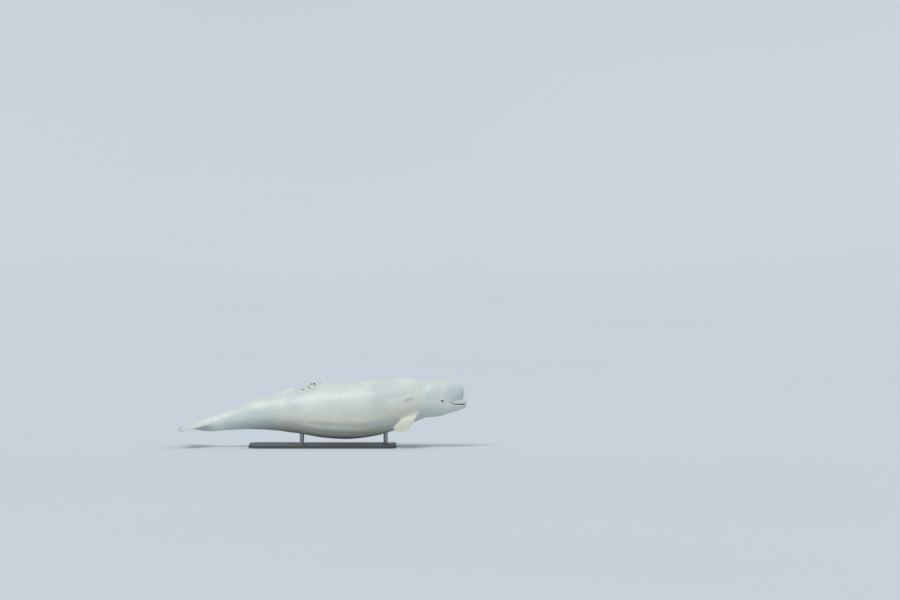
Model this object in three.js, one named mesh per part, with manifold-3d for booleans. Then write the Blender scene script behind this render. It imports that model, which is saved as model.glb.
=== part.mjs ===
import * as THREE from "three";
import { mergeVertices } from "three/addons/utils/BufferGeometryUtils.js";
import Module from "manifold-3d";

// A life-size adult beluga whale at the moment it comes up to breathe, held by a plain display stand.
// Millimetres. +X points to the snout, +Y to the whale's left and +Z up.
// The origin is the middle of the model's footprint, on the floor.

const wasm = await Module();
wasm.setup();

// Driving dimensions
const BODY_LENGTH = 4000; // snout to fluke notch, along the spine
const FLUKE_SPAN = 1040;
const FLIPPER_LENGTH = 440;
const EYE_DIAMETER = 30;
const MOUTH_CORNER = 238; // station of the gape's end
const CLEARANCE = 70; // from the lowest flesh to the top of the base
const BASE_SIZE = { length: 2100, width: 860, height: 45, corner: 120, bevel: 8 };
const ROD_RADIUS = 32;
const GAP = 0.3; // between neighbouring solids

// Curves and small helpers

const degrees = THREE.MathUtils.degToRad;
const bell = (x, width) => Math.exp(-((x / width) ** 2));
const fade = (x, from, to) => THREE.MathUtils.smoothstep(x, from, to);

// A smooth curve through [station, value] pairs, level beyond both ends.
function profile(points) {
  const last = points.length - 1;
  const slopes = points.map((_, i) => {
    const before = points[Math.max(i - 1, 0)];
    const after = points[Math.min(i + 1, last)];
    return (after[1] - before[1]) / (after[0] - before[0]);
  });
  return (x) => {
    if (x <= points[0][0]) return points[0][1];
    if (x >= points[last][0]) return points[last][1];
    const i = points.findIndex((p) => p[0] > x) - 1;
    const width = points[i + 1][0] - points[i][0];
    const t = (x - points[i][0]) / width;
    const rise = t * t * (3 - 2 * t);
    const leave = t * (1 - t) ** 2 * width * slopes[i];
    const arrive = t * t * (t - 1) * width * slopes[i + 1];
    return points[i][1] * (1 - rise) + points[i + 1][1] * rise + leave + arrive;
  };
}

// A profile whose stations and values are both shares of the body length.
function bodyProfile(points) {
  return profile(points.map(([at, value]) => [at * BODY_LENGTH, value * BODY_LENGTH]));
}

// The trunk, as heights over and under the spine's line and half widths
const BACK = bodyProfile([
  [0.03, 0.018], [0.07, 0.05], [0.105, 0.0715], [0.149, 0.0698], [0.18, 0.082], [0.22, 0.0925],
  [0.27, 0.0985], [0.33, 0.1], [0.4, 0.101], [0.47, 0.1025], [0.53, 0.1005], [0.6, 0.0835],
  [0.66, 0.0742], [0.72, 0.065], [0.8, 0.049], [0.88, 0.033], [0.93, 0.0252], [0.955, 0.0195],
  [0.975, 0.0125], [0.992, 0.005],
]);
const BELLY = bodyProfile([
  [0.03, -0.012], [0.07, -0.03], [0.11, -0.0475], [0.15, -0.0575], [0.19, -0.069], [0.25, -0.086],
  [0.32, -0.0975], [0.39, -0.101], [0.46, -0.0985], [0.54, -0.088], [0.62, -0.072], [0.7, -0.0555],
  [0.78, -0.0405], [0.86, -0.0295], [0.92, -0.0235], [0.955, -0.018], [0.975, -0.0115],
  [0.992, -0.0045],
]);
const HALF_WIDTH = bodyProfile([
  [0.03, 0.015], [0.07, 0.037], [0.105, 0.0485], [0.135, 0.0535], [0.165, 0.0605], [0.21, 0.074],
  [0.27, 0.0885], [0.34, 0.0965], [0.41, 0.0965], [0.49, 0.09], [0.57, 0.077], [0.65, 0.0595],
  [0.73, 0.0425], [0.81, 0.0285], [0.88, 0.0195], [0.93, 0.015], [0.965, 0.0115], [0.992, 0.004],
]);
// Height of the widest level, and the section's roundness: 2 is an ellipse, less has keels
const WAIST = bodyProfile([
  [0.03, 0], [0.1, 0.004], [0.2, -0.006], [0.35, -0.012], [0.5, -0.01], [0.65, -0.004], [0.8, 0.001],
  [1, 0.001],
]);
const ROUNDNESS = profile([
  [400, 2.1], [900, 2.15], [1500, 2.25], [2100, 2.15], [2600, 1.95], [3100, 1.8], [3600, 1.7],
]);

// The pose: how far the spine points nose-up, in degrees, along the body
const PITCH = profile([
  [0, 0.5], [520, 0.5], [800, 6], [1150, 8.5], [1500, 7], [1800, 3], [2100, 1], [2350, 2.5],
  [2650, 5.5], [3000, 8.5], [3400, 10.5], [3700, 8], [4000, 5],
]);
const SPINE_STEP = 10;

function spineLine() {
  const line = [{ x: 0, z: 0 }];
  for (let a = 0; a < BODY_LENGTH * 1.05; a += SPINE_STEP) {
    const pitch = degrees(PITCH(a + SPINE_STEP / 2));
    const { x, z } = line[line.length - 1];
    line.push({ x: x - SPINE_STEP * Math.cos(pitch), z: z - SPINE_STEP * Math.sin(pitch) });
  }
  return line;
}
const SPINE = spineLine();

// Puts a point of the straight body, at station a, y to the left and h over the spine, into the pose.
function place([a, y, h]) {
  const i = Math.max(0, Math.min(SPINE.length - 2, Math.floor(a / SPINE_STEP)));
  const t = a / SPINE_STEP - i;
  const [p, q] = [SPINE[i], SPINE[i + 1]];
  const pitch = degrees(PITCH(a));
  return new THREE.Vector3(
    p.x + (q.x - p.x) * t - h * Math.sin(pitch),
    y,
    p.z + (q.z - p.z) * t + h * Math.cos(pitch),
  );
}

// The head's swellings, as rounded ellipsoids at [station, side, height]
const CRANIUM = { at: [430, 0, 50], radii: [290, 196, 256], power: 2.1 };
const MELON = { at: [208, 0, 133], radii: [176, 148, 157], power: 2.3 };
const UPPER_JAW = { at: [190, 0, -6], radii: [190, 126, 36], power: 2.7 };
const LOWER_JAW = { at: [196, 0, -64], radii: [190, 120, 46], power: 2.5 };
const THROAT = { at: [370, 0, -80], radii: [270, 150, 84], power: 2.2 };
const CHEEK = { at: [330, 88, -38], radii: [150, 92, 88], power: 2.1 };
const MOUTH = profile([
  [-20, -27], [0, -27], [60, -33], [120, -36], [175, -29], [215, -12], [MOUTH_CORNER + 10, 6],
]);

// Roughly the distance from p to a rounded ellipsoid, negative inside.
function swelling(p, { at, radii, power }) {
  const share = p.map((v, i) => Math.abs(v - at[i]) / radii[i]);
  const size = share.reduce((sum, v) => sum + v ** power, 0) ** (1 / power);
  if (size < 1e-6) return -Math.min(...radii);
  const slope = Math.hypot(...share.map((v, i) => v ** (power - 1) / radii[i]));
  return ((size - 1) * size ** (power - 1)) / slope;
}

// The same for the trunk's section at station a; the trunk runs out inside the head.
const TRUNK_START = 260;
function trunkField([a, y, h]) {
  const waist = WAIST(a);
  const reach = h > waist ? BACK(a) - waist : waist - BELLY(a);
  const power = ROUNDNESS(a);
  const side = Math.abs(y) / HALF_WIDTH(a);
  const up = Math.abs(h - waist) / reach;
  const size = (side ** power + up ** power) ** (1 / power);
  if (size < 1e-6) return -HALF_WIDTH(a);
  const slope = Math.hypot(side ** (power - 1) / HALF_WIDTH(a), up ** (power - 1) / reach);
  return ((size - 1) * size ** (power - 1)) / slope + Math.max(TRUNK_START - a, 0);
}

// The smaller of two distances, with a fillet about as wide as blend where they meet.
function join(d, e, blend) {
  const near = Math.max(blend - Math.abs(d - e), 0) / blend;
  return Math.min(d, e) - (near * near * blend) / 4;
}

// The line of the mouth, sunk between two lips that stand a little proud.
function mouthRelief([a, , h]) {
  const off = h - MOUTH(a);
  const along = 1 - fade(a, MOUTH_CORNER - 12, MOUTH_CORNER + 14);
  return along * (9 * bell(off, 3.6) - 3.5 * bell(Math.abs(off) - 14, 9));
}

// The swelling that carries the eye, and the hollow in front of it.
const EYE_AT = { station: 350, height: 22 };
function eyeRelief([a, y, h]) {
  if (Math.abs(y) < 60) return 0;
  const round = Math.hypot((a - EYE_AT.station) / 1.3, h - EYE_AT.height);
  return -7 * bell(round, 34);
}

// The raised rim round the blowhole, a crescent whose horns point forwards.
const BLOWHOLE = { station: 398, half: 33, bow: 20, slot: 3.2, depth: 16 };
function blowholeRelief([a, y, h]) {
  if (h < 120) return 0;
  const bowed = a - (BLOWHOLE.station - BLOWHOLE.bow * (y / BLOWHOLE.half) ** 2);
  const beside = Math.max(Math.abs(y) - BLOWHOLE.half, 0);
  return -8 * bell(Math.hypot(bowed, beside), 24);
}

// Folds of blubber that run along the lower flank.
const FLANK_FOLD = { from: 900, to: 2500, height: 6, angles: [104, 124, 144], width: 7.5 };
function flankRelief([a, y, h]) {
  const angle = THREE.MathUtils.radToDeg(Math.atan2(Math.abs(y), h - WAIST(a)));
  const begun = fade(a, FLANK_FOLD.from, FLANK_FOLD.from + 350);
  const along = begun * (1 - fade(a, FLANK_FOLD.to - 500, FLANK_FOLD.to));
  const folds = FLANK_FOLD.angles.map((at) => bell(angle - at, FLANK_FOLD.width));
  return -FLANK_FOLD.height * along * folds.reduce((sum, v) => sum + v, 0);
}

// Roughly the distance from a point of the straight body to its skin, negative inside.
function bodyField(p) {
  const mirrored = [p[0], Math.abs(p[1]), p[2]];
  const forehead = join(swelling(p, CRANIUM), swelling(p, MELON), 80);
  const lips = join(swelling(p, UPPER_JAW), swelling(p, LOWER_JAW), 14);
  const jaws = join(lips, join(swelling(p, THROAT), swelling(mirrored, CHEEK), 60), 50);
  const head = join(forehead, jaws, 30);
  const smooth = p[0] > 900 ? trunkField(p) : join(head, trunkField(p), 60);
  return smooth + mouthRelief(p) + eyeRelief(p) + blowholeRelief(p) + flankRelief(p);
}

// How far the skin lies from start along a direction, or a little more with grow.
function castOut(start, direction, grow = 0) {
  let [inside, outside] = [0, 700];
  for (let i = 0; i < 40; i++) {
    const middle = (inside + outside) / 2;
    const p = start.map((v, k) => v + middle * direction[k]);
    if (bodyField(p) < grow) inside = middle;
    else outside = middle;
  }
  return start.map((v, k) => v + outside * direction[k]);
}

// Meshes and solids

// A closed surface through rings of points, each ending in a flat cap or, where it is one point, a tip.
function loft(rings, { matched = false } = {}) {
  const points = [];
  const faces = [];
  const starts = rings.map((ring) => {
    const first = points.length;
    points.push(...ring);
    return first;
  });
  for (let i = 0; i + 1 < rings.length; i++) {
    const n = Math.max(rings[i].length, rings[i + 1].length);
    for (let j = 0; j < n; j++) {
      const k = (j + 1) % n;
      const [p, q] = rings[i].length === 1 ? [starts[i], starts[i]] : [starts[i] + j, starts[i] + k];
      const [r, s] =
        rings[i + 1].length === 1 ? [starts[i + 1], starts[i + 1]] : [starts[i + 1] + j, starts[i + 1] + k];
      const turned = matched && j >= n / 2;
      const pair = turned ? [[p, q, r], [q, s, r]] : [[p, q, s], [p, s, r]];
      faces.push(...pair.filter(([x, y, z]) => x !== y && y !== z && z !== x));
    }
  }
  [0, rings.length - 1].forEach((i) => {
    const ring = rings[i];
    if (ring.length === 1) return;
    const middle = ring.reduce((sum, v) => sum.add(v), new THREE.Vector3()).divideScalar(ring.length);
    points.push(middle);
    ring.forEach((_, j) => {
      const edge = [starts[i] + j, starts[i] + ((j + 1) % ring.length)];
      faces.push([points.length - 1, ...(i === 0 ? edge.reverse() : edge)]);
    });
  });
  return solidOf(points, faces);
}

// A ring of points that closes on itself both ways, such as a torus.
function ringSolid(rings) {
  const n = rings[0].length;
  const faces = [];
  rings.forEach((_, i) => {
    const next = (i + 1) % rings.length;
    for (let j = 0; j < n; j++) {
      const k = (j + 1) % n;
      faces.push([i * n + j, i * n + k, next * n + k], [i * n + j, next * n + k, next * n + j]);
    }
  });
  return solidOf(rings.flat(), faces);
}

// A solid from points and triangles, with its faces turned outwards.
function solidOf(points, faces) {
  const made = new wasm.Manifold(
    new wasm.Mesh({
      numProp: 3,
      vertProperties: new Float32Array(points.flatMap((p) => [p.x, p.y, p.z])),
      triVerts: new Uint32Array(faces.flat()),
    }),
  );
  return made.volume() > 0 ? made : solidOf(points, faces.map(([p, q, r]) => [p, r, q]));
}

// A three.js geometry as a solid.
function solidFrom(geometry) {
  const bare = geometry.clone();
  bare.deleteAttribute("normal");
  bare.deleteAttribute("uv");
  const merged = mergeVertices(bare, 1e-3);
  return new wasm.Manifold(
    new wasm.Mesh({
      numProp: 3,
      vertProperties: new Float32Array(merged.attributes.position.array),
      triVerts: new Uint32Array(merged.index.array),
    }),
  );
}

// The largest closed surface of a solid, as a three.js geometry.
function geometryOf(solid) {
  const whole = solid.decompose().sort((p, q) => q.volume() - p.volume())[0];
  const mesh = whole.getMesh();
  const positions = new Float32Array(mesh.numVert * 3);
  for (let i = 0; i < mesh.numVert; i++) {
    positions.set(mesh.vertProperties.subarray(i * mesh.numProp, i * mesh.numProp + 3), i * 3);
  }
  const geometry = new THREE.BufferGeometry();
  geometry.setAttribute("position", new THREE.BufferAttribute(positions, 3));
  geometry.setIndex(new THREE.BufferAttribute(new Uint32Array(mesh.triVerts), 1));
  geometry.computeVertexNormals();
  return geometry;
}

const mirrored = (solid) => solid.mirror([0, 1, 0]);

// The body, ring by ring

const SPINE_HEIGHT = profile([[400, -27], [900, -10], [1400, 0], [3600, 0], [4000, 0]]);

// A ring round the trunk: its points follow the section's own shape, so that keels are drawn well.
function trunkRing(a, rows, grow = 0) {
  const start = [a, 0, SPINE_HEIGHT(a)];
  const tall = (BACK(a) - BELLY(a)) / 2;
  return Array.from({ length: rows }, (_, j) => {
    const turn = (j / rows) * 2 * Math.PI;
    const direction = new THREE.Vector3(0, HALF_WIDTH(a) * Math.sin(turn), tall * Math.cos(turn));
    return place(castOut(start, direction.normalize().toArray(), grow));
  });
}

function trunkLength(from, to, rows, rings, grow = 0) {
  const stations = Array.from({ length: rings + 1 }, (_, i) => from + ((to - from) * i) / rings);
  return loft(stations.map((a) => trunkRing(a, rows, grow)));
}

// The head is drawn by rays from one point inside it, so that one row of points follows the mouth.
const HEAD = {
  centre: [400, 0, -27],
  end: 560,
  // degrees up and down from the line of the mouth
  up: [0.55, 1.2, 2.1, 3.3, 4.7, 6.3, 8, 9.8, 11.6, 13.6, 16, 19, 23, 28, 34, 41, 48, 56, 64, 73, 82, 90],
  down: [0.55, 1.2, 2.1, 3.3, 4.8, 6.8, 9.5, 13, 18, 24, 31, 39, 48, 58, 68, 79, 90],
  // degrees out from the midline
  out: [0, 3, 6, 9, 12, 15, 18.5, 22.5, 27, 32, 38, 44.5, 51.5, 59, 67, 75, 83, 90],
  // stations of the rings behind the rays' centre
  neck: [410, 422, 438, 458, 482, 508, 534, 560],
};

function headRay(rise, out) {
  const [r, o] = [degrees(rise), degrees(out)];
  return [-Math.cos(o) * Math.cos(r), Math.sin(o), Math.cos(o) * Math.sin(r)];
}

// The rise, in degrees, at which a ray that runs so far out meets the mouth.
function mouthRise(out) {
  let rise = 0;
  for (let i = 0; i < 8; i++) {
    const a = Math.min(castOut(HEAD.centre, headRay(rise, out))[0], MOUTH_CORNER);
    rise = THREE.MathUtils.radToDeg(Math.atan2(MOUTH(a) - HEAD.centre[2], HEAD.centre[0] - a));
  }
  return rise;
}

function headShell() {
  const outs = [...HEAD.out.slice(1).reverse().map((out) => -out), ...HEAD.out];
  const last = outs.length - 1;
  const steps = [...HEAD.down.slice().reverse().map((step) => -step), 0, ...HEAD.up];
  const points = [headRay(0, -90), headRay(0, 90)].map((ray) => place(castOut(HEAD.centre, ray)));
  const rows = steps.map((step) =>
    outs.map((out, j) => {
      if (j === 0 || j === last) return j / last;
      const level = mouthRise(out);
      const rise = level + ((step > 0 ? 90 - level : 90 + level) * step) / 90;
      return points.push(place(castOut(HEAD.centre, headRay(rise, out)))) - 1;
    }),
  );
  const around = [...outs.map((out) => [90, out]), ...outs.slice(1, -1).reverse().map((out) => [-90, out])];
  const rings = HEAD.neck.map((a) => {
    const start = [a, 0, SPINE_HEIGHT(a)];
    return around.map(([rise, out]) => points.push(place(castOut(start, headRay(rise, out)))) - 1);
  });
  rings.unshift([...rows[rows.length - 1], ...rows[0].slice(1, -1).reverse()]);
  const faces = [...strips(rows, false), ...strips(rings, true)];
  const end = rings[rings.length - 1];
  const middle = points.push(place([HEAD.end, 0, SPINE_HEIGHT(HEAD.end)])) - 1;
  end.forEach((at, j) => faces.push([at, end[(j + 1) % end.length], middle]));
  return solidOf(points, faces);
}

// Triangles between neighbouring lines of points, which may close on themselves.
function strips(lines, closed) {
  const n = lines[0].length;
  return lines.slice(1).flatMap((line, i) =>
    Array.from({ length: closed ? n : n - 1 }, (_, j) => {
      const k = (j + 1) % n;
      const [p, q, r, s] = [lines[i][j], lines[i][k], line[k], line[j]];
      return [[p, q, r], [p, r, s]];
    })
      .flat()
      .filter(([p, q, r]) => p !== q && q !== r && r !== p),
  );
}

// The region of the lower jaw, seen from the side and moved by step, as a slab right across the head.
function jawRegion(step) {
  const line = Array.from({ length: 25 }, (_, i) => -40 + ((MOUTH_CORNER + 40) * i) / 24);
  const outline = [
    ...line.map((a) => [a, MOUTH(a)]),
    [MOUTH_CORNER + 34, -60],
    [MOUTH_CORNER + 60, -130],
    [MOUTH_CORNER + 72, -320],
    [-40, -320],
  ];
  const side = (y) => outline.map(([a, h]) => place([a - step, y, h - step]));
  return prism(side(-320), side(320));
}

// A solid between two alike outlines that face one another.
function prism(first, second) {
  const n = first.length;
  const contour = first.map((p) => new THREE.Vector2(p.x, p.z));
  const cap = THREE.ShapeUtils.triangulateShape(contour, []);
  const walls = contour.flatMap((_, i) => {
    const next = (i + 1) % n;
    return [[i, n + i, next], [next, n + i, n + next]];
  });
  const clockwise = THREE.ShapeUtils.isClockWise(contour);
  const caps = cap.flatMap(([p, q, r]) => [
    clockwise ? [p, r, q] : [p, q, r],
    clockwise ? [n + p, n + q, n + r] : [n + p, n + r, n + q],
  ]);
  const turned = clockwise ? walls.map(([p, q, r]) => [p, r, q]) : walls;
  return solidOf([...first, ...second], [...caps, ...turned]);
}

// Eyes and lids

const EYE_SKIN = castOut([EYE_AT.station, 0, EYE_AT.height], [0, 1, 0]);
const EYE_SINK = 9; // the eyeball's middle under the skin
const EYE_CENTRE = [EYE_AT.station, EYE_SKIN[1] - EYE_SINK, EYE_AT.height];

function eyeball(radius) {
  const ball = new THREE.SphereGeometry(radius, 18, 12);
  ball.translate(...place(EYE_CENTRE).toArray());
  return solidFrom(ball);
}

// Both lids as one almond ring that lies on the skin round the eye.
function lids() {
  const [segments, sides] = [22, 8];
  const rings = Array.from({ length: segments }, (_, i) => {
    const turn = (i / segments) * 2 * Math.PI;
    const along = 15 * Math.cos(turn);
    const up = 10 * Math.sin(turn) * Math.abs(Math.sin(turn)) ** 0.25;
    const thick = 3.4 + 1.4 * Math.abs(Math.sin(turn));
    const spot = castOut([EYE_AT.station + along, 60, EYE_AT.height + up], [0, 1, 0]);
    return Array.from({ length: sides }, (_, j) => {
      const round = (j / sides) * 2 * Math.PI;
      const out = thick * Math.cos(round);
      return place([
        spot[0] + out * Math.cos(turn),
        spot[1] + thick * Math.sin(round) - 0.5,
        spot[2] + out * Math.sin(turn),
      ]);
    });
  });
  return ringSolid(rings);
}

// The pinhole of the ear, behind the eye and a little lower.
const EAR = { station: 432, height: -6, radius: 4, depth: 10 };
function earHole() {
  const skin = castOut([EAR.station, 0, EAR.height], [0, 1, 0]);
  const pit = new THREE.SphereGeometry(EAR.radius, 8, 6);
  pit.scale(1, EAR.depth / EAR.radius, 1);
  pit.translate(...place(skin).toArray());
  return solidFrom(pit);
}

// The blowhole's slot: a crescent, open at the top and closed below.
function blowholeSlot() {
  const steps = 12;
  const rings = Array.from({ length: steps + 1 }, (_, i) => {
    const share = (2 * i) / steps - 1;
    const y = BLOWHOLE.half * share;
    const a = BLOWHOLE.station - BLOWHOLE.bow * share * share;
    const skin = castOut([a, y, 0], [0, 0, 1]);
    const wide = BLOWHOLE.slot * Math.sqrt(1.02 - share * share) + 0.4;
    const deep = BLOWHOLE.depth * Math.sqrt(1.05 - share * share);
    const corners = [[-wide, 12], [wide, 12], [wide * 0.6, -deep], [-wide * 0.6, -deep]];
    return corners.map(([da, dh]) => place([a + da, y, skin[2] + dh]));
  });
  return loft(rings);
}

// Flippers: short broad paddles whose rims curl up with age

const FLIPPER = {
  root: [800, 236, -172],
  span: new THREE.Vector3(0.52, 0.66, -0.54).normalize(), // back, out and down
  inside: -0.24, // how far the root runs into the body, as a share of the length
  lead: profile([
    [-0.24, -108], [0, -84], [0.12, -80], [0.3, -88], [0.5, -92], [0.68, -84], [0.83, -66], [1, -34],
  ]),
  trail: profile([
    [-0.24, 104], [0, 82], [0.12, 84], [0.28, 102], [0.45, 122], [0.62, 132], [0.78, 128], [1, 100],
  ]),
  thick: profile([
    [-0.24, 88], [0, 60], [0.1, 48], [0.25, 38], [0.45, 30], [0.7, 20], [0.9, 11], [1, 4],
  ]),
  roundFrom: 0.7, // share of the length from which the tip rounds off
  curl: 46, // how far the outer half bends up towards the tip
  turnUp: 16, // how far the hind rim turns up
  stations: 17,
  around: 20,
};

// A fin's section: [chord share, half thickness share] round from the leading edge and back.
function finSection(count) {
  return Array.from({ length: count }, (_, j) => {
    const turn = (j / count) * 2 * Math.PI;
    const chord = (1 - Math.cos(turn)) / 2;
    const side = j % (count / 2) === 0 ? 0 : Math.sign(Math.sin(turn));
    const full = 1.302 * Math.sqrt(chord) * (1 - chord) ** 0.85 + 0.045 * Math.abs(Math.sin(turn));
    return [chord, side * full];
  });
}

function flipper() {
  const { span } = FLIPPER;
  const back = new THREE.Vector3(1, 0, 0).addScaledVector(span, -span.x).normalize();
  const face = new THREE.Vector3().crossVectors(span, back).normalize();
  if (face.z < 0) face.negate();
  const section = finSection(FLIPPER.around);
  const rings = Array.from({ length: FLIPPER.stations }, (_, i) => {
    const share = i / (FLIPPER.stations - 1);
    const u = FLIPPER.inside + (1 - FLIPPER.inside) * Math.sin((share * Math.PI) / 2) ** 1.15;
    const middle = (FLIPPER.lead(u) + FLIPPER.trail(u)) / 2;
    const past = Math.max(0, (u - FLIPPER.roundFrom) / (1 - FLIPPER.roundFrom));
    const rounding = Math.sqrt(Math.max(1 - past * past, 0));
    const chordLength = (FLIPPER.trail(u) - FLIPPER.lead(u)) * rounding;
    const rimUp = FLIPPER.turnUp * rounding * Math.max(0, u);
    const thick = FLIPPER.thick(u);
    const rise = FLIPPER.curl * Math.max(0, (u - 0.5) / 0.5) ** 2;
    const ring = section.map(([chord, half]) => {
      const at = new THREE.Vector3(...FLIPPER.root).addScaledVector(span, u * FLIPPER_LENGTH);
      at.addScaledVector(back, middle + chordLength * (chord - 0.5));
      at.addScaledVector(face, (thick / 2) * half + rise + rimUp * chord ** 3);
      return place(at.toArray());
    });
    return i === FLIPPER.stations - 1 ? [ring[0].clone().lerp(ring[FLIPPER.around / 2], 0.5)] : ring;
  });
  return loft(rings, { matched: true });
}

// Flukes: a deep notch between two lobes with bulging hind edges

const FLUKES = {
  root: 3600, // station of the cut between the tail stock and the flukes
  lead: profile([
    [0, 3600], [0.04, 3650], [0.09, 3690], [0.18, 3735], [0.32, 3790], [0.5, 3852], [0.68, 3915],
    [0.84, 3980], [0.94, 4030], [1, 4072],
  ]),
  trail: profile([
    [0, 4000], [0.03, 4040], [0.08, 4078], [0.18, 4118], [0.32, 4142], [0.48, 4148], [0.64, 4138],
    [0.8, 4118], [0.92, 4094], [1, 4072],
  ]),
  thick: profile([[0, 84], [0.08, 68], [0.2, 48], [0.4, 33], [0.6, 23], [0.8, 14], [0.93, 8], [1, 3]]),
  rise: profile([[0, 4], [0.3, 2], [0.6, -6], [0.85, -20], [1, -34]]),
  turnUp: 6, // how far the hind rim turns up, fading out before the tip
  stations: 18,
  around: 24,
};

// One lobe, from a little past the midline to the tip.
function flukeLobe() {
  const section = finSection(FLUKES.around);
  const rings = Array.from({ length: FLUKES.stations }, (_, i) => {
    const share = i / (FLUKES.stations - 1);
    const v = Math.sin((share * Math.PI) / 2) ** 1.1;
    const rimUp = FLUKES.turnUp * v * (1 - fade(v, 0.7, 0.99));
    const ring = section.map(([chord, half]) => {
      const a = FLUKES.lead(v) + (FLUKES.trail(v) - FLUKES.lead(v)) * chord;
      const h = FLUKES.rise(v) + (FLUKES.thick(v) / 2) * half + rimUp * chord * chord;
      return place([a, (v * FLUKE_SPAN) / 2 + GAP / 2, h]);
    });
    return i === FLUKES.stations - 1 ? [ring[0].clone().lerp(ring[FLUKES.around / 2], 0.5)] : ring;
  });
  return loft(rings, { matched: true });
}

// The left half of the stock's end, which fades into the flukes.
function stockEnd() {
  const end = trunkLength(FLUKES.root + GAP, BODY_LENGTH * 0.991, 24, 7);
  const half = new THREE.BoxGeometry(1000, 400, 1000);
  const { x, z } = place([3850, 0, 0]);
  half.translate(x, 200 + GAP / 2, z);
  return end.intersect(solidFrom(half));
}

// The dorsal ridge, scarred and notched: a tooth, a stump and a last tall tooth

const RIDGE = {
  crest: profile([
    [1990, -4], [2030, 8], [2070, 16], [2153, 26], [2205, 34], [2228, 32], [2246, 14], [2266, 10], [2290, 17],
    [2314, 24], [2334, 20], [2354, 6], [2380, 4], [2404, 5], [2436, 20], [2466, 42], [2488, 46], [2520, 40],
    [2590, 28], [2680, 14], [2760, 5], [2790, -4],
  ]),
  from: 1996,
  to: 2786,
  stations: 52,
  across: [-34, -24, -16, -9, -4, 0, 4, 9, 16, 24, 34],
  width: 17,
  root: 22,
};

function dorsalRidge() {
  const rings = Array.from({ length: RIDGE.stations }, (_, i) => {
    const a = RIDGE.from + ((RIDGE.to - RIDGE.from) * i) / (RIDGE.stations - 1);
    const crown = RIDGE.across.map((y) => {
      const skin = castOut([a, y, 0], [0, 0, 1]);
      const height = Math.max(RIDGE.crest(a), -3.5) + 4;
      return place([a, y, skin[2] - 4 + height * Math.exp(-((Math.abs(y) / RIDGE.width) ** 1.5))]);
    });
    const edge = RIDGE.across[0];
    const under = castOut([a, 0, 0], [0, 0, 1])[2] - RIDGE.root;
    return [...crown, place([a, -edge, under]), place([a, edge, under])];
  });
  return loft(rings);
}

// The lengths of the body between thin cuts: name, stations, rows and rings
const LENGTHS = [
  { name: "neck", from: HEAD.end, to: 760, rows: 44, rings: 5 },
  { name: "chest", from: 760, to: 1500, rows: 48, rings: 13 },
  { name: "abdomen", from: 1500, to: 2820, rows: 48, rings: 19 },
  { name: "tail_stock_front", from: 2820, to: 3260, rows: 40, rings: 7 },
  { name: "tail_stock_rear", from: 3260, to: FLUKES.root, rows: 30, rings: 7 },
];

function bodyLength({ from, to, rows, rings }, grow = 0) {
  return trunkLength(from + GAP - grow, to + grow, rows, rings, grow);
}

// The stand: rods of plain round bar, each with a foot flange, on a flat base

const RODS = [
  { name: "stand_rod_front", station: 1220 },
  { name: "stand_rod_rear", station: 2380 },
];
const ROD_FLANGE = { radius: 84, height: 12, fillet: 10 };

function rod(station, floor) {
  const { x, z } = place([station, 0, BELLY(station)]);
  const foot = floor + BASE_SIZE.height + GAP;
  const { radius, height, fillet } = ROD_FLANGE;
  const turn = [
    [0, 0], [radius - 3, 0], [radius, 3], [radius, height - 3], [radius - 3, height],
    [ROD_RADIUS + fillet, height], [ROD_RADIUS + fillet * 0.3, height + fillet * 0.3],
    [ROD_RADIUS, height + fillet], [ROD_RADIUS, z + 60 - foot], [0, z + 60 - foot],
  ];
  const bar = new THREE.LatheGeometry(turn.map(([r, up]) => new THREE.Vector2(r, up)), 32);
  bar.rotateX(Math.PI / 2);
  bar.translate(x, 0, foot);
  return solidFrom(bar);
}

function base(floor, middle) {
  const { length, width, height, corner, bevel } = BASE_SIZE;
  const [x, y] = [length / 2 - bevel, width / 2 - bevel];
  const outline = new THREE.Shape();
  outline.moveTo(-x + corner, -y);
  outline.absarc(x - corner, -y + corner, corner, -Math.PI / 2, 0);
  outline.absarc(x - corner, y - corner, corner, 0, Math.PI / 2);
  outline.absarc(-x + corner, y - corner, corner, Math.PI / 2, Math.PI);
  outline.absarc(-x + corner, -y + corner, corner, Math.PI, 1.5 * Math.PI);
  const plate = new THREE.ExtrudeGeometry(outline, {
    depth: height - bevel,
    bevelThickness: bevel,
    bevelSize: bevel,
    bevelSegments: 2,
    curveSegments: 8,
  });
  plate.translate(middle, 0, floor);
  const under = new THREE.BoxGeometry(length * 2, width * 2, height);
  under.translate(middle, 0, floor - height / 2);
  return solidFrom(plate).subtract(solidFrom(under));
}

// Materials

const finish = (color, roughness, metalness = 0) =>
  new THREE.MeshStandardMaterial({ color, roughness, metalness });
const SKIN = finish(0xdfe3dc, 0.42);
const RIDGE_SKIN = finish(0xc9c5b8, 0.5);
const EYE = finish(0x1a1310, 0.1);
const BASE_PAINT = finish(0x3a3d40, 0.6);
const STEEL = finish(0xb4b7ba, 0.35, 1);

// Assembly

const model = new THREE.Group();
const flesh = new THREE.Group();
const stand = new THREE.Group();
model.add(flesh, stand);

function add(group, name, solid, material) {
  const mesh = new THREE.Mesh(geometryOf(solid), material);
  mesh.name = name;
  group.add(mesh);
}

const sockets = eyeball(EYE_DIAMETER / 2 + GAP);
const wholeHead = headShell()
  .add(lids())
  .add(mirrored(lids()))
  .subtract(sockets)
  .subtract(mirrored(sockets))
  .subtract(blowholeSlot())
  .subtract(earHole())
  .subtract(mirrored(earHole()));
add(flesh, "head", wholeHead.subtract(jawRegion(0)), SKIN);
add(flesh, "lower_jaw", wholeHead.intersect(jawRegion(GAP)), SKIN);
add(flesh, "eye_left", eyeball(EYE_DIAMETER / 2), EYE);
add(flesh, "eye_right", mirrored(eyeball(EYE_DIAMETER / 2)), EYE);

LENGTHS.forEach((length) => add(flesh, length.name, bodyLength(length), SKIN));

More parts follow.
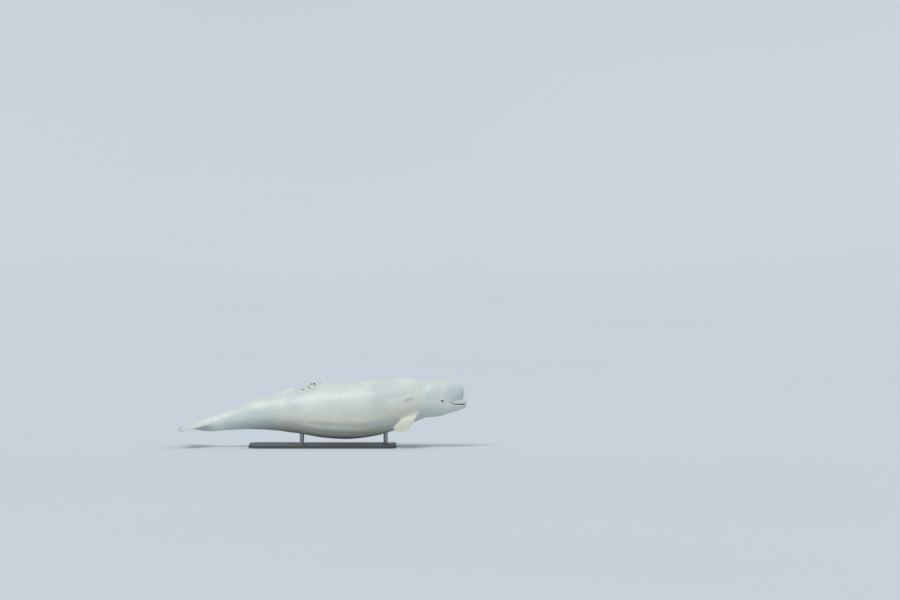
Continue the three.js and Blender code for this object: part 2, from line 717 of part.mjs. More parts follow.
const [neck, chest, abdomen] = LENGTHS;
const paddle = flipper().subtract(bodyLength(chest, GAP)).subtract(bodyLength(neck, GAP));
add(flesh, "flipper_left", paddle, SKIN);
add(flesh, "flipper_right", mirrored(paddle), SKIN);

add(flesh, "dorsal_ridge", dorsalRidge().subtract(bodyLength(abdomen, GAP)), RIDGE_SKIN);

const fluke = flukeLobe().add(stockEnd());
add(flesh, "fluke_left", fluke, SKIN);
add(flesh, "fluke_right", mirrored(fluke), SKIN);

const fleshBox = new THREE.Box3().setFromObject(flesh);
const floorLevel = fleshBox.min.z - CLEARANCE - BASE_SIZE.height;
const middle = (fleshBox.min.x + fleshBox.max.x) / 2;
const underside = [chest, abdomen].map((length) => bodyLength(length, GAP));
RODS.forEach(({ name, station }) => {
  const cut = underside.reduce((bar, body) => bar.subtract(body), rod(station, floorLevel));
  const lowest = cut.decompose().sort((p, q) => p.boundingBox().min[2] - q.boundingBox().min[2])[0];
  add(stand, name, lowest, STEEL);
});
add(stand, "stand_base", base(floorLevel, middle), BASE_PAINT);

model.position.set(-middle, 0, -floorLevel);

export default model;
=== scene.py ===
"""An adult beluga whale as it comes up to breathe, on a plain display stand, with its studio and camera."""

import math
from itertools import product

import bmesh
import bpy
import numpy as np
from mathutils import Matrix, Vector
from mathutils.bvhtree import BVHTree


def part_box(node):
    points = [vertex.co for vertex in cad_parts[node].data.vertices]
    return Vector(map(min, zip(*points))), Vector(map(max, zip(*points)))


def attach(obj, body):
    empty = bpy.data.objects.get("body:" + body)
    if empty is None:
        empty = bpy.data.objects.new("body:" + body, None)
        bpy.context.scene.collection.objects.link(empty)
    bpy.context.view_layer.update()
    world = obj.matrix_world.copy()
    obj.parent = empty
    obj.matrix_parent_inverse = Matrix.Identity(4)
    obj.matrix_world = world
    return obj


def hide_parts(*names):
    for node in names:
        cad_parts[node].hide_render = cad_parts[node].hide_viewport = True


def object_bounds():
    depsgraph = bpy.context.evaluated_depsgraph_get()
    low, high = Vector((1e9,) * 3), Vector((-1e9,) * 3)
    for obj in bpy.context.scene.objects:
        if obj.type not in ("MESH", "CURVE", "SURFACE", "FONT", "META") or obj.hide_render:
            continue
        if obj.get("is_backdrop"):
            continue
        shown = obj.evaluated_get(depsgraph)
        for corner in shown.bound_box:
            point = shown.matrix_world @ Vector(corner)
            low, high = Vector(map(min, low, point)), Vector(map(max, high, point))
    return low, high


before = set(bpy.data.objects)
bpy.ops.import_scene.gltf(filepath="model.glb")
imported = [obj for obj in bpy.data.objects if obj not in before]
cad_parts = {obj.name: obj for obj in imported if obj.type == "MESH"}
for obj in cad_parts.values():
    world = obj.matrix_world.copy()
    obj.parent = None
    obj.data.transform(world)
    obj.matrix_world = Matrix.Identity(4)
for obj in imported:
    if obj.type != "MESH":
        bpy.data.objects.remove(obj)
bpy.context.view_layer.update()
scene = bpy.context.scene

MM = 0.001
BODY_LENGTH = 4000.0  # snout to fluke notch, along the spine, in millimetres
FLUKE_SPAN = 1040.0
FLIPPER_LENGTH = 440.0
MOUTH_CORNER = 238.0  # station of the gape's end
SIDES = (-1, 1)


# Curves and small helpers


def bell(x, width):
    """A soft bump of height 1 round 0."""
    return np.exp(-((x / width) ** 2))


def fade(x, start, end):
    """A soft step from 0 at start to 1 at end."""
    t = np.clip((x - start) / (end - start), 0.0, 1.0)
    return t * t * (3 - 2 * t)


def window(x, start, full, fading, end):
    """A soft step up from start to full, and down again from fading to end."""
    return fade(x, start, full) * (1 - fade(x, fading, end))


def dent(distance, depth_and_width):
    depth, width = depth_and_width
    return depth * bell(distance, width)


def profile(points, scale=1.0):
    """A smooth curve through (station, value) pairs, level beyond both ends."""
    at, value = np.array(points, float).T * scale
    slopes = np.empty(len(at))
    slopes[1:-1] = (value[2:] - value[:-2]) / (at[2:] - at[:-2])
    slopes[0] = (value[1] - value[0]) / (at[1] - at[0])
    slopes[-1] = (value[-1] - value[-2]) / (at[-1] - at[-2])

    def curve(x):
        x = np.clip(np.asarray(x, float), at[0], at[-1])
        i = np.clip(np.searchsorted(at, x, side="right") - 1, 0, len(at) - 2)
        width = at[i + 1] - at[i]
        t = (x - at[i]) / width
        rise = t * t * (3 - 2 * t)
        leave = t * (1 - t) ** 2 * width * slopes[i]
        arrive = t * t * (t - 1) * width * slopes[i + 1]
        return value[i] * (1 - rise) + value[i + 1] * rise + leave + arrive

    return curve


def body_profile(points):
    return profile(points, BODY_LENGTH)


def unit(vectors):
    return vectors / np.linalg.norm(vectors, axis=-1, keepdims=True)


def show(name, data):
    """A new object in the scene."""
    made = bpy.data.objects.new(name, data)
    scene.collection.objects.link(made)
    return made


def graded(start, end, count, spots):
    """count steps from start to end, closer together round each (place, width, strength) spot."""
    x = np.linspace(start, end, 4001)
    density = 1 + sum(strength * bell(x - at, width) for at, width, strength in spots)
    reached = np.concatenate([[0], np.cumsum((density[1:] + density[:-1]) / 2)])
    return np.interp(np.linspace(0, reached[-1], count + 1), reached, x)


LATTICE_PRIMES = (73856093, 19349663, 83492791)
SEED_PRIME = 2654435761
MIXING_PRIME = 1274126177
LOW_BITS = 0xFFFF


def lattice_value(cells, seed):
    """A number between -1 and 1 for each whole-numbered place, scrambled but always the same."""
    parts = cells * LATTICE_PRIMES
    n = parts[:, 0] ^ parts[:, 1] ^ parts[:, 2] ^ (seed * SEED_PRIME)
    n = (n ^ (n >> 13)) * MIXING_PRIME
    return ((n >> 8) & LOW_BITS) / (LOW_BITS / 2) - 1


def noise(points, size, seed):
    """Smooth noise between -1 and 1 on cells of one size, or of one size for each axis."""
    q = points / np.asarray(size, float)
    cells = np.floor(q).astype(np.int64)
    t = q - cells
    t = t * t * (3 - 2 * t)
    total = 0
    for corner in product((0, 1), repeat=3):
        share = np.prod(np.where(corner, t, 1 - t), axis=1)
        total += share * lattice_value(cells + corner, seed)
    return total


# The trunk, as heights over and under the spine's line and half widths

BACK = body_profile([
    (0.03, 0.018), (0.07, 0.05), (0.105, 0.0715), (0.149, 0.0698), (0.18, 0.082), (0.22, 0.0925),
    (0.27, 0.0985), (0.33, 0.1), (0.4, 0.101), (0.47, 0.1025), (0.53, 0.1005), (0.6, 0.0835),
    (0.66, 0.0742), (0.72, 0.065), (0.8, 0.049), (0.88, 0.033), (0.93, 0.0252), (0.955, 0.0195),
    (0.975, 0.0125), (0.992, 0.005),
])
BELLY = body_profile([
    (0.03, -0.012), (0.07, -0.03), (0.11, -0.0475), (0.15, -0.0575), (0.19, -0.069), (0.25, -0.086),
    (0.32, -0.0975), (0.39, -0.101), (0.46, -0.0985), (0.54, -0.088), (0.62, -0.072), (0.7, -0.0555),
    (0.78, -0.0405), (0.86, -0.0295), (0.92, -0.0235), (0.955, -0.018), (0.975, -0.0115),
    (0.992, -0.0045),
])
HALF_WIDTH = body_profile([
    (0.03, 0.015), (0.07, 0.037), (0.105, 0.0485), (0.135, 0.0535), (0.165, 0.0605), (0.21, 0.074),
    (0.27, 0.0885), (0.34, 0.0965), (0.41, 0.0965), (0.49, 0.09), (0.57, 0.077), (0.65, 0.0595),
    (0.73, 0.0425), (0.81, 0.0285), (0.88, 0.0195), (0.93, 0.015), (0.965, 0.0115), (0.992, 0.004),
])
WAIST = body_profile([
    (0.03, 0), (0.1, 0.004), (0.2, -0.006), (0.35, -0.012), (0.5, -0.01), (0.65, -0.004), (0.8, 0.001),
    (1, 0.001),
])
ROUNDNESS = profile([
    (400, 2.1), (900, 2.15), (1500, 2.25), (2100, 2.15), (2600, 1.95), (3100, 1.8), (3600, 1.7),
])
TRUNK_START = 260
SPINE_HEIGHT = profile([(400, -27), (900, -10), (1400, 0), (3600, 0), (4000, 0)])

# The pose: how far the spine points nose-up, in degrees, along the body
PITCH = profile([
    (0, 0.5), (520, 0.5), (800, 6), (1150, 8.5), (1500, 7), (1800, 3), (2100, 1), (2350, 2.5),
    (2650, 5.5), (3000, 8.5), (3400, 10.5), (3700, 8), (4000, 5),
])
SPINE_STEP = 10.0
SPINE_STATIONS = np.arange(0, BODY_LENGTH * 1.05 + SPINE_STEP, SPINE_STEP)


def spine_line():
    pitch = np.radians(PITCH(SPINE_STATIONS[:-1] + SPINE_STEP / 2))
    x = np.concatenate([[0], np.cumsum(-SPINE_STEP * np.cos(pitch))])
    z = np.concatenate([[0], np.cumsum(-SPINE_STEP * np.sin(pitch))])
    return x, z


SPINE_X, SPINE_Z = spine_line()


def place(points):
    """Points (station, side, height) of the straight body, put into the pose, in millimetres."""
    a, y, h = points.T
    pitch = np.radians(PITCH(a))
    ahead = np.minimum(a, 0)
    x = np.interp(a, SPINE_STATIONS, SPINE_X) - ahead * np.cos(pitch) - h * np.sin(pitch)
    z = np.interp(a, SPINE_STATIONS, SPINE_Z) - ahead * np.sin(pitch) + h * np.cos(pitch)
    return np.stack([x, y, z], axis=1)


# The head's swellings, as rounded ellipsoids at (station, side, height)

CRANIUM = ((430, 0, 50), (290, 196, 256), 2.1)
MELON = ((208, 0, 133), (176, 148, 157), 2.3)
UPPER_JAW = ((190, 0, -6), (190, 126, 36), 2.7)
LOWER_JAW = ((196, 0, -64), (190, 120, 46), 2.5)
THROAT = ((370, 0, -80), (270, 150, 84), 2.2)
CHEEK = ((330, 88, -38), (150, 92, 88), 2.1)
MOUTH = profile([
    (-20, -27), (0, -27), (60, -33), (120, -36), (175, -29), (215, -12), (MOUTH_CORNER + 10, 6),
])


def swelling(a, y, h, shape):
    """Roughly the distance to a rounded ellipsoid, negative inside."""
    (at_a, at_y, at_h), (ra, ry, rh), power = shape
    sa, sy, sh = np.abs(a - at_a) / ra, np.abs(y - at_y) / ry, np.abs(h - at_h) / rh
    size = np.maximum((sa**power + sy**power + sh**power) ** (1 / power), 1e-6)
    slope = np.sqrt(
        (sa ** (power - 1) / ra) ** 2 + (sy ** (power - 1) / ry) ** 2 + (sh ** (power - 1) / rh) ** 2
    )
    return (size - 1) * size ** (power - 1) / np.maximum(slope, 1e-9)


def trunk_field(a, y, h):
    waist, half, power = WAIST(a), HALF_WIDTH(a), ROUNDNESS(a)
    reach = np.where(h > waist, BACK(a) - waist, waist - BELLY(a))
    side, up = np.abs(y) / half, np.abs(h - waist) / reach
    size = np.maximum((side**power + up**power) ** (1 / power), 1e-6)
    slope = np.hypot(side ** (power - 1) / half, up ** (power - 1) / reach)
    return (size - 1) * size ** (power - 1) / np.maximum(slope, 1e-9) + np.maximum(TRUNK_START - a, 0)


def join(d, e, blend):
    """The smaller of two distances, with a fillet about as wide as blend where they meet."""
    near = np.maximum(blend - np.abs(d - e), 0) / blend
    return np.minimum(d, e) - near * near * blend / 4


# Reliefs of the skin, added to the distance: positive sinks the skin, negative raises it.
# A dent is a (depth, width) pair, and a ring of one also says how far out it lies.

MOUTH_DENTS = {"line": (9, 3.6), "lips": (-3.5, 9), "dimple": (5, 9), "cheek_fold": (2.5, 7)}
LIP_OFF = 14
CHEEK_FOLD = {"behind": 26, "lean": 0.3, "reach": 34}
EYE_AT = (350.0, 22.0)  # station and height
EYE_LENGTHEN = 1.3
EYE_RINGS = ((0, (-7, 34)), (33, (1.3, 3.2)), (43, (0.9, 3.4)))
EAR_AT = (432.0, -6.0)
INSIDE = 60.0  # a side coordinate that lies well inside the head
BLOWHOLE = {"station": 398.0, "half": 33.0, "bow": 20.0, "slot": 3.2, "depth": 22.0}
BLOWHOLE_RINGS = ((0, (-8, 24)), (9, (-1.6, 4)), (34, (1.2, 8)))
CROWN = 120  # height over which the blowhole lies
FLANK = {"from": 900.0, "to": 2500.0, "angles": (104, 124, 144), "fold": (-6.0, 7.5), "gutter": (2.2, 3.0)}
NECK_CREASES = ((552, (2.4, 12)), (604, (3.6, 14)), (652, (2.6, 14)), (712, (1.6, 18)))


def rings_about(distance, rings):
    """Ring-shaped dents and swells about a middle, each with how far out it lies."""
    return sum(dent(distance - out, pair) for out, pair in rings)


def mouth_relief(a, h):
    off = h - MOUTH(a)
    behind = a - MOUTH_CORNER
    along = 1 - fade(behind, -12, 14)
    lips = along * (dent(off, MOUTH_DENTS["line"]) + dent(np.abs(off) - LIP_OFF, MOUTH_DENTS["lips"]))
    dimple = dent(np.hypot(behind - 4, h - 4), MOUTH_DENTS["dimple"])
    fold = behind - CHEEK_FOLD["behind"] - CHEEK_FOLD["lean"] * (h + 10)
    return lips + dimple + dent(fold, MOUTH_DENTS["cheek_fold"]) * bell(h - 4, CHEEK_FOLD["reach"])


def eye_relief(a, y, h):
    distance = np.hypot((a - EYE_AT[0]) / EYE_LENGTHEN, h - EYE_AT[1])
    return np.where(np.abs(y) < INSIDE, 0, rings_about(distance, EYE_RINGS))


def blowhole_distance(a, y):
    """How far a place on the crown lies from the blowhole's bowed line."""
    bowed = a - (BLOWHOLE["station"] - BLOWHOLE["bow"] * (y / BLOWHOLE["half"]) ** 2)
    return np.hypot(bowed, np.maximum(np.abs(y) - BLOWHOLE["half"], 0))


def blowhole_relief(a, y, h):
    return np.where(h < CROWN, 0, rings_about(blowhole_distance(a, y), BLOWHOLE_RINGS))


def flank_relief(a, y, h):
    """Fatty folds along the lower flank, each with a gutter below it."""
    angle = np.degrees(np.arctan2(np.abs(y), h - WAIST(a)))
    along = window(a, FLANK["from"], FLANK["from"] + 350, FLANK["to"] - 500, FLANK["to"])
    wander = 3.0 * np.sin(a / 310) + 1.6 * np.sin(a / 137 + 1)
    offs = [angle + wander - at for at in FLANK["angles"]]
    return along * sum(dent(off, FLANK["fold"]) + dent(off - 10, FLANK["gutter"]) for off in offs)


def neck_relief(a, y, h):
    angle = np.degrees(np.arctan2(np.abs(y), h))
    total = 0
    for i, (at, pair) in enumerate(NECK_CREASES):
        bent = a - at - 14 * np.sin(np.radians(angle) * 1.5 + i) - 0.12 * (90 - angle)
        total += dent(bent, pair) * (0.35 + 0.65 * bell(angle - 40 - 35 * (i % 3), 42))
    return total


# The dorsal ridge: scarred, with a staircase of torn notches and a last tall tooth

RIDGE = profile([
    (1990, 0), (2030, 8), (2070, 17), (2110, 21), (2153, 27), (2205, 35), (2224, 33), (2236, 17),
    (2248, 15), (2254, 8), (2268, 9), (2280, 15), (2302, 22), (2320, 24), (2338, 16), (2350, 5),
    (2378, 3), (2404, 4), (2436, 20), (2466, 42), (2488, 46), (2520, 40), (2590, 28), (2680, 14),
    (2760, 5), (2800, 0),
])
RIDGE_BLADE = {"share": 0.84, "half": 15, "power": 1.45}
RIDGE_ROOT = (0.16, 46)  # as a dent, for a crest of height 1


def ridge_height(a, y):
    """How far the ridge stands over the back: a ragged crest on a soft root."""
    ragged = 1.6 * np.sin(a / 5.3) * np.sin(a / 17 + 1) + 1.1 * np.sin(a / 11.7 + 2)
    lean = 2.5 * np.sin(a / 60) + 1.2 * np.sin(a / 19)
    tall = RIDGE(a)
    crest = np.maximum(tall + ragged * np.clip(tall / 14, 0, 1), 0)
    across = np.abs(y - lean)
    blade = np.exp(-((across / RIDGE_BLADE["half"]) ** RIDGE_BLADE["power"]))
    return crest * (RIDGE_BLADE["share"] * blade + dent(across, RIDGE_ROOT))


def body_field(a, y, h, with_reliefs=True):
    """Roughly the distance from the skin, negative inside."""
    forehead = join(swelling(a, y, h, CRANIUM), swelling(a, y, h, MELON), 80)
    lips = join(swelling(a, y, h, UPPER_JAW), swelling(a, y, h, LOWER_JAW), 14)
    jaws = join(lips, join(swelling(a, y, h, THROAT), swelling(a, np.abs(y), h, CHEEK), 60), 50)
    head = join(forehead, jaws, 30)
    trunk = trunk_field(a, y, h)
    smooth = np.where(a > 900, trunk, join(head, trunk, 60))
    if not with_reliefs:
        return smooth
    reliefs = mouth_relief(a, h) + eye_relief(a, y, h) + blowhole_relief(a, y, h)
    reliefs = reliefs + flank_relief(a, y, h) + neck_relief(a, y, h)
    return smooth + reliefs - np.where(h > 0, ridge_height(a, y), 0)


RAY_REACH = 700.0
RAY_HALVINGS = 30
LEFT = np.array([0.0, 1.0, 0.0])
UP = np.array([0.0, 0.0, 1.0])


def cast_out(starts, directions, field=body_field):
    """Where rays leave the body. Of starts and directions, one may be the same for all rays."""
    inside = np.zeros((max(starts.size, directions.size) // 3, 1))
    outside = inside + RAY_REACH
    for _ in range(RAY_HALVINGS):
        middle = (inside + outside) / 2
        within = field(*(starts + middle * directions).T)[:, None] < 0
        inside = np.where(within, middle, inside)
        outside = np.where(within, outside, middle)
    return starts + outside * directions


def plain_field(a, y, h):
    return body_field(a, y, h, with_reliefs=False)


# Meshes


def mesh_object(name, points, faces):
    """An object from points of the straight body, whose stations run against the X axis."""
    data = bpy.data.meshes.new(name)
    flipped = np.array(points, float) * (-1, 1, 1)
    data.from_pydata(flipped.tolist(), [], [list(f) for f in faces])
    shell = bmesh.new()
    shell.from_mesh(data)
    bmesh.ops.recalc_face_normals(shell, faces=shell.faces)
    shell.to_mesh(data)
    shell.free()
    return show(name, data)


def strips(lines, closed):
    """Quads between neighbouring rows of point numbers, triangles where two of a quad's corners are one."""
    n = lines.shape[1]
    columns = np.arange(n if closed else n - 1)
    following = (columns + 1) % n
    upper, lower = lines[:-1], lines[1:]
    corners = [upper[:, columns], upper[:, following], lower[:, following], lower[:, columns]]
    quads = np.stack(corners, axis=-1).reshape(-1, 4)
    return [tuple(dict.fromkeys(quad)) for quad in quads.tolist()]


def fan(line, middle):
    """Triangles between a ring of point numbers and one point."""
    return [(int(p), int(q), middle) for p, q in zip(line, np.roll(line, -1))]


def combine(target, tool, operation):
    """Joins tool to target, or cuts it away, and removes it."""
    step = target.modifiers.new("join", "BOOLEAN")
    step.operation = operation
    step.object = tool
    step.solver = "MANIFOLD"
    depsgraph = bpy.context.evaluated_depsgraph_get()
    made = bpy.data.meshes.new_from_object(target.evaluated_get(depsgraph))
    target.modifiers.clear()
    if len(made.polygons) == 0:
        raise RuntimeError(f"{operation} with {tool.name} gave an empty mesh")
    target.data = made
    bpy.data.objects.remove(tool)


# The body's shell: rays from one point in the head, then rings round the spine

HEAD_CENTRE = np.array([400.0, 0.0, -27.0])
ROWS_UP = graded(0, 90, 92, [(0, 5, 4.5), (10, 4, 1.5), (90, 6, 2.6)])[1:]
ROWS_DOWN = graded(0, 90, 62, [(0, 6, 4)])[1:]
OUT = graded(0, 90, 62, [(0, 8, 2.4), (32, 18, 0.6), (70, 7, 0.9)])
STATIONS = graded(402, 3966, 320, [
    (402, 45, 4), (620, 120, 0.9), (2240, 130, 3.2), (2440, 260, 1.5), (3900, 150, 0.6),
])
TAIL_TIP = 4  # the shell's last point, behind its last ring
FLATTEST_AIM = 0.3


def head_ray(rise, out):
    r, o = np.radians(rise), np.radians(out)
    return np.stack([-np.cos(o) * np.cos(r), np.sin(o), np.cos(o) * np.sin(r)], axis=-1)


def mouth_rise(out):
    """The rise, in degrees, at which rays that run so far out meet the mouth."""
    rise = np.zeros_like(out)
    for _ in range(8):
        a = np.minimum(cast_out(HEAD_CENTRE, head_ray(rise, out), plain_field)[:, 0], MOUTH_CORNER)
        rise = np.degrees(np.arctan2(MOUTH(a) - HEAD_CENTRE[2], HEAD_CENTRE[0] - a))
    return rise


def head_points(outs):
    """The head's front half by rays between two poles: its points, and their numbers row by row."""
    level = mouth_rise(outs)
    steps = np.concatenate([-ROWS_DOWN[::-1], [0], ROWS_UP])[:, None]
    rise = level + np.where(steps > 0, 90 - level, 90 + level) * steps / 90
    rays = head_ray(rise[:, 1:-1], np.broadcast_to(outs[1:-1], rise[:, 1:-1].shape)).reshape(-1, 3)
    poles = head_ray(np.zeros(2), np.array([-90.0, 90.0]))
    rays = np.concatenate([poles, rays])
    inner = np.arange(2, len(rays)).reshape(len(steps), -1)
    rows = np.pad(inner, ((0, 0), (1, 1)), constant_values=(0, 1))  # each row runs from pole to pole
    return cast_out(HEAD_CENTRE, rays), rows


def trunk_points(around):
    """Rings round the spine, their rays spread to suit the trunk's flattening."""
    starts = np.zeros((len(STATIONS), len(around), 3))
    starts[:, :, 0] = STATIONS[:, None]
    starts[:, :, 2] = SPINE_HEIGHT(STATIONS)[:, None]
    squash = np.clip(HALF_WIDTH(STATIONS) / ((BACK(STATIONS) - BELLY(STATIONS)) / 2), FLATTEST_AIM, 1)
    squash = 1 + (squash - 1) * fade(STATIONS, 700, 1400)
    aims = np.tile(around, (len(STATIONS), 1, 1))
    aims[:, :, 1] *= squash[:, None]
    return cast_out(starts.reshape(-1, 3), unit(aims).reshape(-1, 3))


def body_shell():
    outs = np.concatenate([-OUT[:0:-1], OUT])
    front, rows = head_points(outs)
    around = np.concatenate([head_ray(90.0, outs), head_ray(-90.0, outs[-2:0:-1])])
    behind = trunk_points(around)
    rings = np.arange(len(behind)).reshape(len(STATIONS), -1) + len(front)
    first = np.concatenate([rows[-1], rows[0, -2:0:-1]])
    rings = np.concatenate([first[None], rings])
    end = np.array([[STATIONS[-1] + TAIL_TIP, 0.0, SPINE_HEIGHT(STATIONS[-1])]])
    faces = strips(rows, False) + strips(rings, True) + fan(rings[-1], len(front) + len(behind))
    return mesh_object("skin", np.concatenate([front, behind, end]), faces)


def loft(name, rings):
    """A closed tube through rings of points, with flat ends."""
    count, n = rings.shape[:2]
    points = [*rings.reshape(-1, 3)]
    lines = np.arange(count * n).reshape(count, n)
    faces = strips(lines, True)
    for line, ring in ((lines[0], rings[0]), (lines[-1], rings[-1])):
        points.append(ring.mean(axis=0))
        faces += fan(line, len(points) - 1)
    return mesh_object(name, np.array(points), faces)


# Fins


def fin_section(count):
    """Chord share and half thickness share round from the leading edge and back."""
    turn = np.arange(count) / count * 2 * np.pi
    chord = (1 - np.cos(turn)) / 2
    full = 1.302 * np.sqrt(chord) * (1 - chord) ** 0.85 + 0.045 * np.abs(np.sin(turn))
    return chord, np.sign(np.sin(turn)) * full


FIN_FILLET = 42.0
FIN_ROOT = (-45, -8)  # depths in the body between which the fillet starts


def flare(points, outwards):
    """Widens a fin towards the body, so that it runs into the skin on a fillet."""
    distance = plain_field(*points.reshape(-1, 3).T).reshape(points.shape[:-1])
    short = np.clip(FIN_FILLET - distance, 0, FIN_FILLET)
    grow = FIN_FILLET - np.sqrt(np.maximum(FIN_FILLET**2 - short**2, 0))
    grow *= fade(distance, *FIN_ROOT)
    return points + outwards * np.minimum(grow, FIN_FILLET * 0.75)[..., None]


FLIPPER_ROOT = np.array([800.0, 236.0, -172.0])
FLIPPER_SPAN = unit([0.52, 0.66, -0.54])
FLIPPER_INSIDE = -0.24
FLIPPER_LEAD = profile([
    (-0.24, -62), (0, -82), (0.12, -80), (0.3, -88), (0.5, -92), (0.68, -84), (0.83, -66), (1, -34),
])
FLIPPER_TRAIL = profile([
    (-0.24, 60), (0, 80), (0.12, 84), (0.28, 102), (0.45, 122), (0.62, 132), (0.78, 128), (1, 100),
])
FLIPPER_THICK = profile([
    (-0.24, 50), (0, 56), (0.1, 48), (0.25, 38), (0.45, 30), (0.7, 20), (0.9, 11), (1, 4),
])
FLIPPER_ROUND_FROM = 0.7
FLIPPER_CURL = 46.0
FLIPPER_TURN_UP = 16
FLIPPER_MESH = (64, 64)  # points round a section, and sections


def flipper(side):
    back = unit((1.0, 0, 0) - FLIPPER_SPAN[0] * FLIPPER_SPAN)
    face = np.cross(FLIPPER_SPAN, back)
    face *= np.sign(face[2])
    chord, half = fin_section(FLIPPER_MESH[0])
    share = np.linspace(0, 1, FLIPPER_MESH[1])[:-1]
    u = (FLIPPER_INSIDE + (1 - FLIPPER_INSIDE) * np.sin(share * np.pi / 2) ** 1.15)[:, None]
    lead, trail, thick = FLIPPER_LEAD(u), FLIPPER_TRAIL(u), FLIPPER_THICK(u)
    past = np.clip((u - FLIPPER_ROUND_FROM) / (1 - FLIPPER_ROUND_FROM), 0, 1)
    rounding = np.sqrt(1 - past**2)
    chord_length = (trail - lead) * rounding
    rise = FLIPPER_CURL * np.maximum(0, (u - 0.5) / 0.5) ** 2
    along = (lead + trail) / 2 + chord_length * (chord - 0.5)
    knuckles = 1.0 * np.sin(chord * 17) * bell(u - 0.62, 0.22)
    ripple = 2.2 * np.sin(u * 26 + chord * 3) * fade(chord, 0.8, 1.0) * window(u, 0.1, 0.4, 0.8, 0.95)
    turned_up = FLIPPER_TURN_UP * chord**3 * np.maximum(0, u) * rounding
    over = (thick / 2 + knuckles) * half + rise + turned_up + ripple
    rings = FLIPPER_ROOT + (u * FLIPPER_LENGTH)[..., None] * FLIPPER_SPAN
    rings = rings + along[..., None] * back + over[..., None] * face
    normal = half[None, :, None] * face + (chord - 0.5)[None, :, None] * 0.8 * back
    rings = flare(rings, np.tile(unit(normal), (len(rings), 1, 1)))
    rings[..., 1] *= side
    return loft("flipper", rings)


FLUKE_LEAD = profile([
    (0, 3600), (0.04, 3650), (0.09, 3690), (0.18, 3735), (0.32, 3790), (0.5, 3852), (0.68, 3915),
    (0.84, 3980), (0.94, 4030), (1, 4072),
])
FLUKE_TRAIL = profile([
    (0, 4000), (0.03, 4040), (0.08, 4078), (0.18, 4118), (0.32, 4142), (0.48, 4148), (0.64, 4138),
    (0.8, 4118), (0.92, 4094), (1, 4072),
])
FLUKE_THICK = profile([(0, 84), (0.08, 68), (0.2, 48), (0.4, 33), (0.6, 23), (0.8, 14), (0.93, 8), (1, 3)])
FLUKE_RISE = profile([(0, 4), (0.3, 2), (0.6, -6), (0.85, -20), (1, -34)])
FLUKE_TURN_UP = 6
FLUKE_MESH = (84, 151)


def flukes():
    chord, half = fin_section(FLUKE_MESH[0])
    share = np.linspace(-1, 1, FLUKE_MESH[1])[1:-1]
    v = (np.sign(share) * np.sin(np.abs(share) * np.pi / 2) ** 1.1)[:, None]
    out = np.abs(v)
    lead, trail = FLUKE_LEAD(out), FLUKE_TRAIL(out)
    a = lead + (trail - lead) * chord
    ripple = (2.0 * np.sin(v * 31 + 1) + 1.2 * np.sin(v * 57)) * fade(chord, 0.82, 1.0)
    ripple *= window(out, 0.06, 0.2, 0.85, 0.97)
    turned_up = FLUKE_TURN_UP * chord**2 * out * (1 - fade(out, 0.7, 0.99))
    h = FLUKE_RISE(out) + FLUKE_THICK(out) / 2 * half + turned_up + ripple
    y = np.broadcast_to(v * FLUKE_SPAN / 2, a.shape)
    rings = np.stack([a, y, h], axis=-1)
    up = np.zeros_like(rings)
    up[..., 2] = np.sign(half) * np.minimum(np.abs(half) * 3, 1)
    return loft("flukes", flare(rings, up))


# Eyes, lids, ears and blowhole

EYE_SKIN = cast_out(np.array([[EYE_AT[0], 0.0, EYE_AT[1]]]), LEFT)[0]
EYE_RADIUS = 15.0
EYE_GAP = 0.3
EYE_SINK = 9.0  # the eyeball's middle under the skin
LID_OPENING = (14.6, 9.6)  # half its length and height
LID_SPREAD = 1.55
LID_RIM = 4.6
EAR_PINHOLE = (2.7, 9.0, 2.4)  # radii along, in and up
EAR_LIP = {"from": 2.6, "width": 15, "height": 1.3}


def eye_middle(node):
    low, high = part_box(node)
    return np.array(low + high) / 2


SHIFT = eye_middle("eye_left") - place(np.array([EYE_SKIN]) - (0, EYE_SINK, 0))[0] * MM


def in_model(points):
    """Points of the straight body, posed and put where the frame has its left eye, in metres."""
    return place(points) * MM + SHIFT


def skin_side(a, h):
    """The skin's side coordinate at each station and height."""
    return cast_out(np.stack([a, np.full_like(a, INSIDE), h], axis=-1), LEFT)[:, 1]


def collar(name, a, h, lift, roots, side):
    """A welt round an opening, in rows from its rim outwards, with both ends sunk to their roots."""
    surface = skin_side(a.ravel(), h.ravel()).reshape(a.shape)
    crown = np.stack([a, surface + lift, h], axis=-1)
    inner = np.stack([a[:, :1], surface[:, :1] - roots[0], h[:, :1]], axis=-1)
    outer = np.stack([a[:, -1:], surface[:, -1:] - roots[1], h[:, -1:]], axis=-1)
    rings = np.concatenate([inner, crown, outer], axis=1)
    rings[..., 1] *= side
    lines = np.arange(rings.size // 3).reshape(rings.shape[:2])
    return mesh_object(name, rings.reshape(-1, 3), strips(np.concatenate([lines, lines[:1]]), True))


